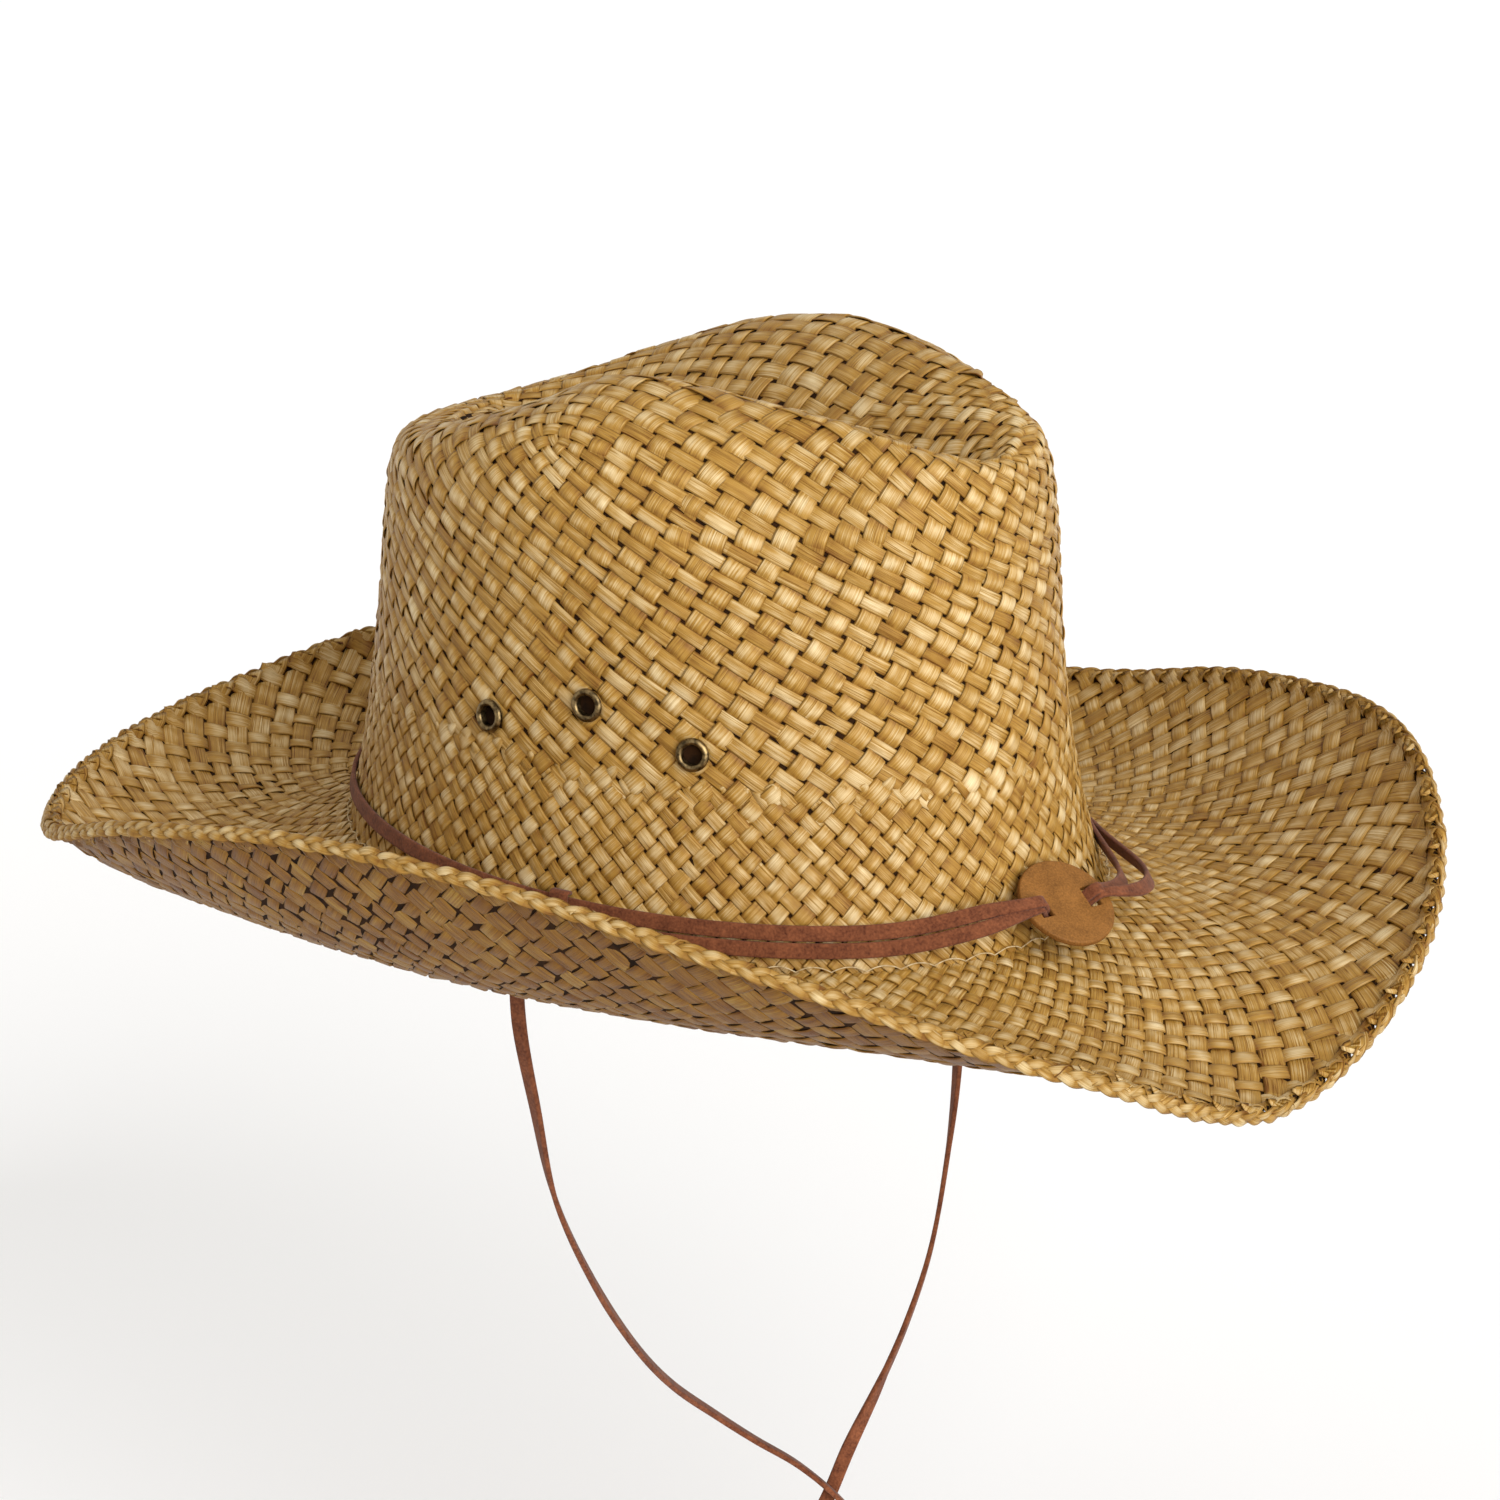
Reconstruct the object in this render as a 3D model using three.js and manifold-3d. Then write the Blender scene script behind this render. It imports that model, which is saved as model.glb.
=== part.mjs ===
// A woven straw western hat: a creased crown sewn to a rolled brim, with a flat lace
// round the crown, a round leather disc at the front, brass eyelets and a hanging chin lace.
// Millimetres, +Z up. The origin is the middle of the head opening, where the crown meets
// the brim. +X is the front, with the disc. The wearer's left is +Y.

import * as THREE from 'three';
import { mergeVertices } from 'three/addons/utils/BufferGeometryUtils.js';
import Module from 'manifold-3d';

const wasm = await Module();
wasm.setup();

// Driving sizes of the head line, the crown and the brim
const HEAD_LENGTH = 204;
const HEAD_WIDTH = 171;
const STRAW_THICKNESS = 2;
const CROWN_HEIGHT = 127.5;
const CROWN_TAPER = 14;
const CROWN_TAPER_HEIGHT = 50;
const CROWN_LEAN_BACK = 6;
const CROWN_LEAN_HEIGHT = 45;
const SHOULDER_START = 68;
const RIDGE_HALF_LENGTH = 80.5;
const RIDGE_HALF_WIDTH = 44;
const CREASE_ROUNDING = 1.2;
const BRIM_REACH = 78;
const BRIM_LIFT = 34;
const BRIM_SAG = 26;
const BRIM_BEND_SHARE = 0.55;
const EDGE_BRAID = 4.5;
const PIECE_GAP = 0.3;

// Driving sizes of the leather and the brass
const LACE_WIDTH = 3.8;
const LACE_THICKNESS = 1.1;
const BAND_HEIGHT = 8;
const DISC_DIAMETER = 25;
const DISC_THICKNESS = 1.8;
const DISC_HEIGHT = 10.3;
const DISC_STAND_OFF = 10;
const DISC_LEAN = 56;
const DISC_TURN = -12;
const DISC_SLIT_SPACING = 15;
const DISC_SLIT_WIDTH = 3.4;
const LEAVE_WALL_TURN = 34;
const KEEPER_WIDTH = 5;
const KEEPER_THICKNESS = 1;
const KEEPER_CLEARANCE = 0.5;
const KEEPER_TURN = 12;
const EYELET_DIAMETER = 8.2;
const EYELET_BORE = 4.8;
const EYELET_WALL = 0.6;
const EYELET_FLANGE = 0.9;
const CHIN_LACE_THICKNESS = 1.5;

// How finely the solids are faceted
const AROUND = 60;
const BRIM_ROWS = 9;
const BRAID_SIDES = 6;
const DISC_SIDES = 36;
const EYELET_SIDES = 12;
const LACE_STEPS_PER_TURN = 90;
const BRIDGE_STEPS = 5;
const CHIN_LACE_SIDES = 8;
const CHIN_LACE_STEPS = 56;

// The small turn, in radians, over which a surface's direction is taken
const SMALL_TURN = 0.01;

// The ridge round the crown's top, from back to front: lengths as shares of half the ridge
// length, half the ridge width and the crown height. left and right are the ridge's heights
// on the wearer's two sides, floor the bottom of the crease between them.
const RIDGE = [
  { along: -1.00, width: 1.16, left: 0.770, right: 0.760, floor: 0.760 },
  { along: -0.91, width: 1.16, left: 0.805, right: 0.765, floor: 0.745 },
  { along: -0.69, width: 1.13, left: 0.875, right: 0.810, floor: 0.735 },
  { along: -0.37, width: 1.05, left: 0.955, right: 0.900, floor: 0.760 },
  { along: 0.00, width: 1.00, left: 1.000, right: 1.000, floor: 0.785 },
  { along: 0.41, width: 0.90, left: 0.992, right: 0.992, floor: 0.800 },
  { along: 0.76, width: 0.94, left: 0.965, right: 0.965, floor: 0.835 },
  { along: 0.94, width: 1.20, left: 0.930, right: 0.930, floor: 0.880 },
  { along: 1.00, width: 1.28, left: 0.905, right: 0.905, floor: 0.905 },
];

// The shoulder between wall and ridge, by the turn from the front in degrees, the same on
// both sides: how far out its knee stands, as a share of the way from ridge to wall, how far
// the knee is below the ridge, as a share of the crown height, and how tight its bend is.
const SHOULDER = [
  { turn: 0, out: 0.96, down: 0.012, bend: 2.2 },
  { turn: 22.5, out: 0.84, down: 0.030, bend: 1.6 },
  { turn: 45, out: 0.62, down: 0.090, bend: 1.1 },
  { turn: 67.5, out: 0.78, down: 0.075, bend: 1.8 },
  { turn: 90, out: 0.87, down: 0.075, bend: 2.8 },
  { turn: 112.5, out: 0.90, down: 0.028, bend: 2.8 },
  { turn: 135, out: 0.93, down: 0.020, bend: 2.8 },
  { turn: 157.5, out: 0.97, down: 0.012, bend: 3.0 },
  { turn: 180, out: 0.97, down: 0.012, bend: 3.0 },
];

// The brim round the head, by the turn from the front in degrees towards the wearer's left:
// its reach, the height of its edge and the drop of its bend, as shares of the named sizes.
const BRIM = [
  { turn: 0, reach: 0.99, lift: -0.62, sag: -0.62 },
  { turn: 22.5, reach: 1.09, lift: 0.06, sag: -0.58 },
  { turn: 45, reach: 1.07, lift: 0.76, sag: -0.62 },
  { turn: 67.5, reach: 0.95, lift: 0.65, sag: -0.73 },
  { turn: 90, reach: 0.89, lift: 0.22, sag: -0.90 },
  { turn: 112.5, reach: 0.94, lift: 0.07, sag: -1.00 },
  { turn: 135, reach: 0.99, lift: 0.11, sag: -1.00 },
  { turn: 157.5, reach: 1.00, lift: 0.18, sag: -1.00 },
  { turn: 180, reach: 1.00, lift: -0.06, sag: -1.02 },
  { turn: 202.5, reach: 1.01, lift: -0.13, sag: -1.03 },
  { turn: 225, reach: 1.02, lift: -0.01, sag: -1.00 },
  { turn: 247.5, reach: 0.94, lift: 0.58, sag: -0.93 },
  { turn: 270, reach: 0.86, lift: 0.96, sag: -0.90 },
  { turn: 292.5, reach: 0.89, lift: 0.99, sag: -0.76 },
  { turn: 315, reach: 0.99, lift: 0.68, sag: -0.64 },
  { turn: 337.5, reach: 1.00, lift: 0.00, sag: -0.62 },
];

// The eyelets on each side: the turn from the front in degrees and the height, as a share
// of the crown height.
const EYELETS = [
  { name: 'front', turn: 58.3, height: 0.375 },
  { name: 'middle', turn: 75.5, height: 0.437 },
  { name: 'back', turn: 93.5, height: 0.368 },
];

const STRAW = { color: 0xc29a52, roughness: 0.55, metalness: 0 };
const SUEDE = { color: 0x8f5440, roughness: 0.85, metalness: 0 };
const DISC_LEATHER = { color: 0xa8752f, roughness: 0.7, metalness: 0 };
const BRASS = { color: 0x6e5a36, roughness: 0.4, metalness: 1 };

// Tables and smoothing

function smoothTable(rows, key, column, period = 0) {
  // A cubic through the rows, with the slope at each row taken from its neighbours
  const keys = rows.map((row) => row[key]);
  const values = rows.map((row) => row[column]);
  if (period) {
    keys.unshift(keys.at(-1) - period);
    values.unshift(values.at(-1));
    keys.push(keys[1] + period, keys[2] + period);
    values.push(values[1], values[2]);
  }
  const slope = keys.map((_, i) => {
    const a = Math.max(i - 1, 0);
    const b = Math.min(i + 1, keys.length - 1);
    return (values[b] - values[a]) / (keys[b] - keys[a]);
  });
  return (x) => {
    let i = 0;
    while (i < keys.length - 2 && x > keys[i + 1]) i += 1;
    const span = keys[i + 1] - keys[i];
    const t = THREE.MathUtils.clamp((x - keys[i]) / span, 0, 1);
    const t2 = t * t;
    const t3 = t2 * t;
    return (2 * t3 - 3 * t2 + 1) * values[i] + (t3 - 2 * t2 + t) * span * slope[i]
      + (3 * t2 - 2 * t3) * values[i + 1] + (t3 - t2) * span * slope[i + 1];
  };
}

const degrees = (angle) => {
  const turn = THREE.MathUtils.radToDeg(angle) % 360;
  return turn < 0 ? turn + 360 : turn;
};
const foldedTurn = (angle) => {
  const turn = degrees(angle);
  return turn > 180 ? 360 - turn : turn;
};

// The straw surfaces

const ridgeWidth = smoothTable(RIDGE, 'along', 'width');
const ridgeLeft = smoothTable(RIDGE, 'along', 'left');
const ridgeRight = smoothTable(RIDGE, 'along', 'right');
const creaseFloor = smoothTable(RIDGE, 'along', 'floor');
const shoulderOut = smoothTable(SHOULDER, 'turn', 'out');
const shoulderDown = smoothTable(SHOULDER, 'turn', 'down');
const shoulderBend = smoothTable(SHOULDER, 'turn', 'bend');
const brimReach = smoothTable(BRIM, 'turn', 'reach', 360);
const brimLift = smoothTable(BRIM, 'turn', 'lift', 360);
const brimSag = smoothTable(BRIM, 'turn', 'sag', 360);

function wallPoint(angle, height) {
  const inset = CROWN_TAPER * (1 - Math.exp(-height / CROWN_TAPER_HEIGHT));
  const back = CROWN_LEAN_BACK * (1 - Math.exp(-height / CROWN_LEAN_HEIGHT));
  return new THREE.Vector3(
    (HEAD_LENGTH / 2 - inset) * Math.cos(angle) - back,
    (HEAD_WIDTH / 2 - inset) * Math.sin(angle),
    height,
  );
}

function ridgeHeight(along, side) {
  // side runs from -1 on the wearer's right to 1 on the left
  const mix = (1 + side) / 2;
  return CROWN_HEIGHT * (ridgeLeft(along) * mix + ridgeRight(along) * (1 - mix));
}

function ridgePoint(angle) {
  const along = Math.cos(angle);
  return new THREE.Vector3(
    RIDGE_HALF_LENGTH * along,
    RIDGE_HALF_WIDTH * ridgeWidth(along) * Math.sin(angle),
    ridgeHeight(along, Math.sin(angle)),
  );
}

function shoulderPoint(angle, share) {
  // From the wall, at share 0, over the knee to the ridge, at share 1
  const start = wallPoint(angle, SHOULDER_START);
  const ridge = ridgePoint(angle);
  const turn = foldedTurn(angle);
  const knee = ridge.clone().lerp(start, shoulderOut(turn));
  knee.z = ridge.z - CROWN_HEIGHT * shoulderDown(turn);
  const a = (1 - share) ** 2;
  const b = 2 * shoulderBend(turn) * share * (1 - share);
  const c = share ** 2;
  return start.multiplyScalar(a).addScaledVector(knee, b).addScaledVector(ridge, c)
    .divideScalar(a + b + c);
}

function creasePoint(angle, share) {
  // From the ridge, at share 1, down to the middle of the crease, at share 0
  const ridge = ridgePoint(angle);
  const x = ridge.x * share;
  const y = ridge.y * share;
  const along = THREE.MathUtils.clamp(x / RIDGE_HALF_LENGTH, -1, 1);
  const halfWidth = RIDGE_HALF_WIDTH * ridgeWidth(along) * Math.sqrt(Math.max(1 - along ** 2, 1e-6));
  const across = THREE.MathUtils.clamp(y / halfWidth, -1, 1);
  const floor = CROWN_HEIGHT * creaseFloor(along);
  const rise = Math.sin(Math.abs(across) * Math.PI / 2) ** CREASE_ROUNDING;
  return new THREE.Vector3(x, y, floor + (ridgeHeight(along, across) - floor) * rise);
}

// The rows of facets: on the wall as shares of the height where the shoulder starts, on the
// shoulder and in the crease as shares of the way over each
const WALL_ROWS = [0, 0.12, 0.26, 0.44, 0.68];
const SHOULDER_SHARES = [0, 0.2, 0.36, 0.5, 0.62, 0.75, 0.88, 1];
const CREASE_SHARES = [0.86, 0.7, 0.52, 0.34, 0.16];

function crownRow(row, angle) {
  if (row === 0) return wallPoint(angle, PIECE_GAP);
  if (row < WALL_ROWS.length) return wallPoint(angle, SHOULDER_START * WALL_ROWS[row]);
  const shoulder = row - WALL_ROWS.length;
  if (shoulder < SHOULDER_SHARES.length) return shoulderPoint(angle, SHOULDER_SHARES[shoulder]);
  return creasePoint(angle, CREASE_SHARES[shoulder - SHOULDER_SHARES.length]);
}
const CROWN_ROWS = WALL_ROWS.length + SHOULDER_SHARES.length + CREASE_SHARES.length;

function headLineNormal(angle) {
  return new THREE.Vector3(HEAD_WIDTH * Math.cos(angle), HEAD_LENGTH * Math.sin(angle), 0).normalize();
}

function brimPoint(angle, share, shorten = 0) {
  // From just inside the head line, at share 0, to the edge, at share 1
  const out = headLineNormal(angle);
  const turn = degrees(angle);
  const start = wallPoint(angle, 0).addScaledVector(out, -STRAW_THICKNESS);
  const reach = BRIM_REACH * brimReach(turn) - shorten;
  const bend = start.clone().addScaledVector(out, reach * BRIM_BEND_SHARE);
  bend.z = BRIM_SAG * brimSag(turn);
  const edge = start.clone().addScaledVector(out, reach);
  edge.z = BRIM_LIFT * brimLift(turn);
  return start.multiplyScalar((1 - share) ** 2).addScaledVector(bend, 2 * share * (1 - share))
    .addScaledVector(edge, share ** 2);
}

// Closed solids from rings of points

function closedMesh(points, triangles) {
  const geometry = new THREE.BufferGeometry();
  geometry.setAttribute('position', new THREE.Float32BufferAttribute(points.flatMap((p) => p.toArray()), 3));
  geometry.setIndex(triangles.flat());
  return geometry;
}

function ringWall(lower, upper, count, triangles) {
  // Faces between two rings of points, given by their first indices
  for (let i = 0; i < count; i += 1) {
    const j = (i + 1) % count;
    triangles.push([lower + i, lower + j, upper + j], [lower + i, upper + j, upper + i]);
  }
}

function surfaceNormal(surface, row, angle, rows) {
  const a = surface(row, angle + SMALL_TURN).sub(surface(row, angle - SMALL_TURN));
  const b = surface(Math.min(row + 1, rows - 1), angle).sub(surface(Math.max(row - 1, 0), angle));
  return a.cross(b).normalize();
}

function crownSolid() {
  const points = [];
  const triangles = [];
  const angles = Array.from({ length: AROUND }, (_, i) => (i / AROUND) * 2 * Math.PI);
  const outerTop = new THREE.Vector3(0, 0, CROWN_HEIGHT * creaseFloor(0));
  for (let row = 0; row < CROWN_ROWS; row += 1) {
    for (const angle of angles) points.push(crownRow(row, angle));
  }
  const inner = points.length;
  for (let row = 0; row < CROWN_ROWS; row += 1) {
    for (const angle of angles) {
      const normal = surfaceNormal(crownRow, row, angle, CROWN_ROWS);
      if (row === 0) normal.setZ(0).normalize();
      points.push(crownRow(row, angle).addScaledVector(normal, -STRAW_THICKNESS));
    }
  }
  const outerPole = points.push(outerTop) - 1;
  const innerPole = points.push(outerTop.clone().setZ(outerTop.z - STRAW_THICKNESS)) - 1;
  for (let row = 0; row < CROWN_ROWS - 1; row += 1) {
    ringWall(row * AROUND, (row + 1) * AROUND, AROUND, triangles);
    ringWall(inner + (row + 1) * AROUND, inner + row * AROUND, AROUND, triangles);
  }
  ringWall(inner, 0, AROUND, triangles);
  const last = (CROWN_ROWS - 1) * AROUND;
  for (let i = 0; i < AROUND; i += 1) {
    const j = (i + 1) % AROUND;
    triangles.push([last + i, last + j, outerPole], [inner + last + j, inner + last + i, innerPole]);
  }
  return closedMesh(points, triangles);
}

function brimSolid() {
  const points = [];
  const triangles = [];
  const surface = (row, angle) => brimPoint(angle, row / BRIM_ROWS, EDGE_BRAID + PIECE_GAP);
  for (const side of [0, -STRAW_THICKNESS]) {
    for (let row = 0; row <= BRIM_ROWS; row += 1) {
      for (let i = 0; i < AROUND; i += 1) {
        const angle = (i / AROUND) * 2 * Math.PI;
        const up = surfaceNormal(surface, row, angle, BRIM_ROWS + 1).multiplyScalar(-1);
        if (row === 0) up.set(0, 0, 1);
        points.push(surface(row, angle).addScaledVector(up, side));
      }
    }
  }
  const under = (BRIM_ROWS + 1) * AROUND;
  for (let row = 0; row < BRIM_ROWS; row += 1) {
    ringWall((row + 1) * AROUND, row * AROUND, AROUND, triangles);
    ringWall(under + row * AROUND, under + (row + 1) * AROUND, AROUND, triangles);
  }
  ringWall(0, under, AROUND, triangles);
  ringWall(under + BRIM_ROWS * AROUND, BRIM_ROWS * AROUND, AROUND, triangles);
  return closedMesh(points, triangles);
}

function sweptSolid(sections, closed) {
  // Sections are equal lists of points, counterclockwise as seen from the way ahead
  const sides = sections[0].length;
  const points = sections.flat();
  const triangles = [];
  const spans = closed ? sections.length : sections.length - 1;
  for (let s = 0; s < spans; s += 1) {
    const next = ((s + 1) % sections.length) * sides;
    ringWall(s * sides, next, sides, triangles);
  }
  if (!closed) {
    const end = (sections.length - 1) * sides;
    for (let i = 1; i < sides - 1; i += 1) {
      triangles.push([0, i + 1, i], [end, end + i, end + i + 1]);
    }
  }
  return closedMesh(points, triangles);
}

function edgeBraidSolid() {
  // A ring whose middle runs round the brim, just outside the edge of the straw sheet
  const sections = [];
  for (let i = 0; i < AROUND; i += 1) {
    const angle = (i / AROUND) * 2 * Math.PI;
    const edge = brimPoint(angle, 1, EDGE_BRAID + PIECE_GAP);
    const out = edge.clone().sub(brimPoint(angle, 1 - 1 / BRIM_ROWS, EDGE_BRAID + PIECE_GAP)).normalize();
    const ahead = brimPoint(angle + SMALL_TURN, 1).sub(brimPoint(angle - SMALL_TURN, 1)).normalize();
    const up = out.clone().cross(ahead).normalize();
    const middle = edge.addScaledVector(out, EDGE_BRAID / 2 + PIECE_GAP)
      .addScaledVector(up, -STRAW_THICKNESS / 2);
    const section = [];
    for (let side = 0; side < BRAID_SIDES; side += 1) {
      const turn = ((side + 0.5) / BRAID_SIDES) * 2 * Math.PI;
      section.push(middle.clone().addScaledVector(out, -EDGE_BRAID / 2 * Math.cos(turn))
        .addScaledVector(up, EDGE_BRAID / 2 * Math.sin(turn)));
    }
    sections.push(section);
  }
  return sweptSolid(sections, true);
}

// Joining and cutting

function toManifold(geometry) {
  const plain = geometry.clone();
  plain.deleteAttribute('normal');
  plain.deleteAttribute('uv');
  const merged = mergeVertices(plain, 1e-5);
  return new wasm.Manifold(new wasm.Mesh({
    numProp: 3,
    vertProperties: new Float32Array(merged.attributes.position.array),
    triVerts: new Uint32Array(merged.index.array),
  }));
}

function fromManifold(manifold) {
  const mesh = manifold.getMesh();
  const geometry = new THREE.BufferGeometry();
  geometry.setAttribute('position', new THREE.BufferAttribute(mesh.vertProperties, 3));
  geometry.setIndex(new THREE.BufferAttribute(mesh.triVerts, 1));
  return geometry;
}

// Eyelets and their holes

function eyeletPlaces() {
  // Each eyelet's name, its middle in the wall and the way out of the wall
  const places = [];
  for (const [side, sign] of [['left', 1], ['right', -1]]) {
    for (const { name, turn, height } of EYELETS) {
      const angle = sign * THREE.MathUtils.degToRad(turn);
      const z = CROWN_HEIGHT * height;
      const around = wallPoint(angle + SMALL_TURN, z).sub(wallPoint(angle - SMALL_TURN, z));
      const up = wallPoint(angle, z + 1).sub(wallPoint(angle, z - 1));
      const out = around.cross(up).normalize();
      const middle = wallPoint(angle, z).addScaledVector(out, -STRAW_THICKNESS / 2);
      places.push({ name: `eyelet_${side}_${name}`, middle, out });
    }
  }
  return places;
}

const EYELET_BARREL = EYELET_BORE + 2 * EYELET_WALL;
// The wall curves under the flange, so the flange stands off by what the wall rises there
const FLANGE_STAND_OFF = PIECE_GAP + EYELET_DIAMETER ** 2 / (4 * HEAD_WIDTH);

function eyeletGeometry() {
  const reach = STRAW_THICKNESS / 2 + FLANGE_STAND_OFF;
  const bore = EYELET_BORE / 2;
  const barrel = EYELET_BARREL / 2;
  const flange = EYELET_DIAMETER / 2;
  const outline = [
    [bore, -reach - EYELET_FLANGE * 0.6], [flange * 0.8, -reach - EYELET_FLANGE * 0.6],
    [flange * 0.9, -reach], [barrel, -reach], [barrel, reach], [flange, reach],
    [flange * 0.86, reach + EYELET_FLANGE], [bore * 1.12, reach + EYELET_FLANGE],
    [bore, reach + EYELET_FLANGE * 0.4], [bore, -reach - EYELET_FLANGE * 0.6],
  ];
  return new THREE.LatheGeometry(outline.map(([x, y]) => new THREE.Vector2(x, y)), EYELET_SIDES);
}

function holeGeometry() {
  const width = EYELET_BARREL + 2 * PIECE_GAP;
  return new THREE.CylinderGeometry(width / 2, width / 2, 6 * STRAW_THICKNESS, EYELET_SIDES);
}

const alongOut = (out) => new THREE.Quaternion().setFromUnitVectors(new THREE.Vector3(0, 1, 0), out);

// Laces, keepers and the disc

// The disc leans back over the groove between crown and brim, turned a little to the right
const discLean = THREE.MathUtils.degToRad(DISC_LEAN);
const discTurn = new THREE.Quaternion()
  .setFromAxisAngle(new THREE.Vector3(0, 0, 1), THREE.MathUtils.degToRad(DISC_TURN));
const discNormal = new THREE.Vector3(Math.cos(discLean), 0, Math.sin(discLean)).applyQuaternion(discTurn);
const discUp = new THREE.Vector3(-Math.sin(discLean), 0, Math.cos(discLean)).applyQuaternion(discTurn);
const discAcross = new THREE.Vector3(0, 1, 0).applyQuaternion(discTurn);
const discMiddle = wallPoint(0, DISC_HEIGHT).add(new THREE.Vector3(DISC_STAND_OFF, 0, 0));

const STRAND_STEP = LACE_WIDTH + PIECE_GAP;
const LACE_LEVEL = DISC_THICKNESS / 2 + PIECE_GAP + LACE_THICKNESS / 2;

// The lace's way through the disc, by its place along the disc as a share of half the slit
// spacing: its level over the disc's middle plane, as a share of the lace level.
const PAST_DISC = [
  { along: -1.90, level: 1 }, { along: -1.50, level: 1 }, { along: -1.18, level: 1 },
  { along: -1.06, level: 0.35 }, { along: -0.94, level: -0.35 }, { along: -0.82, level: -1 },
  { along: -0.40, level: -1 }, { along: 0.00, level: -1 }, { along: 0.40, level: -1 },
  { along: 0.82, level: -1 }, { along: 0.94, level: -0.35 }, { along: 1.06, level: 0.35 },
  { along: 1.18, level: 1 }, { along: 1.50, level: 1 }, { along: 1.90, level: 1 },
];

// A station holds the middle line between the two strands and the way up across them.

function stationOnWall(turn) {
  const angle = THREE.MathUtils.degToRad(turn);
  const height = BAND_HEIGHT - STRAND_STEP / 2;
  const around = wallPoint(angle + SMALL_TURN, height).sub(wallPoint(angle - SMALL_TURN, height));
  const up = wallPoint(angle, height + 1).sub(wallPoint(angle, height - 1)).normalize();
  const out = around.cross(up).normalize();
  const middle = wallPoint(angle, height).addScaledVector(out, PIECE_GAP + LACE_THICKNESS / 2);
  return { middle, up, out };
}

function wallStretch(fromTurn, toTurn) {
  const steps = Math.round(((toTurn - fromTurn) / 360) * LACE_STEPS_PER_TURN);
  const step = (toTurn - fromTurn) / steps;
  return Array.from({ length: steps + 1 }, (_, i) => stationOnWall(fromTurn + i * step));
}

function discStretch() {
  return PAST_DISC.map(({ along, level }) => ({
    middle: discMiddle.clone().addScaledVector(discAcross, along * DISC_SLIT_SPACING / 2)
      .addScaledVector(discNormal, LACE_LEVEL * level),
    up: discUp.clone(),
  }));
}

function bridge(from, to) {
  // Stations between two stretches, on a curve that leaves and meets them in their own lines
  const [a, b] = from.slice(-2);
  const [c, d] = to;
  const reach = b.middle.distanceTo(c.middle) * 0.4;
  const path = new THREE.CubicBezierCurve3(
    b.middle,
    b.middle.clone().add(b.middle.clone().sub(a.middle).setLength(reach)),
    c.middle.clone().add(c.middle.clone().sub(d.middle).setLength(reach)),
    c.middle,
  );
  return Array.from({ length: BRIDGE_STEPS - 1 }, (_, i) => {
    const share = (i + 1) / BRIDGE_STEPS;
    return { middle: path.getPoint(share), up: b.up.clone().lerp(c.up, share).normalize() };
  });
}

function bandStations() {
  // From the right keeper past the disc to the left keeper, then round the back
  const keeper = 90 - KEEPER_TURN;
  const right = wallStretch(-keeper, -LEAVE_WALL_TURN);
  const past = discStretch();
  const left = wallStretch(LEAVE_WALL_TURN, keeper);
  const front = [...right, ...bridge(right, past), ...past, ...bridge(past, left), ...left];
  const stations = [...front, ...wallStretch(keeper, 360 - keeper).slice(1, -1)];
  return { stations, frontCount: front.length };
}

function strandSections(stations, offset) {
  // Flat sections round a closed route, set off from its middle line across the strands
  const count = stations.length;
  return stations.map(({ middle, up }, i) => {
    const before = stations[(i - 1 + count) % count].middle;
    const after = stations[(i + 1) % count].middle;
    const ahead = after.clone().sub(before).normalize();
    const out = ahead.clone().cross(up).normalize();
    const side = out.clone().cross(ahead).normalize();
    return [[1, 1], [-1, 1], [-1, -1], [1, -1]].map(([a, b]) => middle.clone()
      .addScaledVector(side, offset + a * LACE_WIDTH / 2).addScaledVector(out, b * LACE_THICKNESS / 2));
  });
}

function bandLaceSolid() {
  return sweptSolid(strandSections(bandStations().stations, STRAND_STEP / 2), true);
}

function frontLaceSolid() {
  const { stations, frontCount } = bandStations();
  return sweptSolid(strandSections(stations, -STRAND_STEP / 2).slice(0, frontCount), false);
}

function discSolid() {
  const disc = new THREE.CylinderGeometry(DISC_DIAMETER / 2, DISC_DIAMETER / 2, DISC_THICKNESS, DISC_SIDES);
  let body = toManifold(disc.rotateX(Math.PI / 2));
  for (const side of [-1, 1]) {
    const slit = new THREE.BoxGeometry(DISC_SLIT_WIDTH, 2 * LACE_WIDTH + 3 * PIECE_GAP, 3 * DISC_THICKNESS);
    body = body.subtract(toManifold(slit.translate(side * DISC_SLIT_SPACING / 2, 0, 0)));
  }
  return fromManifold(body);
}

function keeperSolid() {
  // A staple over both strands, with its legs reaching back to the straw
  const tall = LACE_WIDTH + STRAND_STEP + 2 * KEEPER_CLEARANCE;
  const deep = LACE_THICKNESS + KEEPER_CLEARANCE;
  const t = KEEPER_THICKNESS;
  const staple = new THREE.Shape([
    [0, tall / 2 + t], [deep + t, tall / 2 + t], [deep + t, -tall / 2 - t], [0, -tall / 2 - t],
    [0, -tall / 2], [deep, -tall / 2], [deep, tall / 2], [0, tall / 2],
  ].map(([x, y]) => new THREE.Vector2(x, y)));
  return new THREE.ExtrudeGeometry(staple, { depth: KEEPER_WIDTH, bevelEnabled: false })
    .translate(0, 0, -KEEPER_WIDTH / 2);
}

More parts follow.
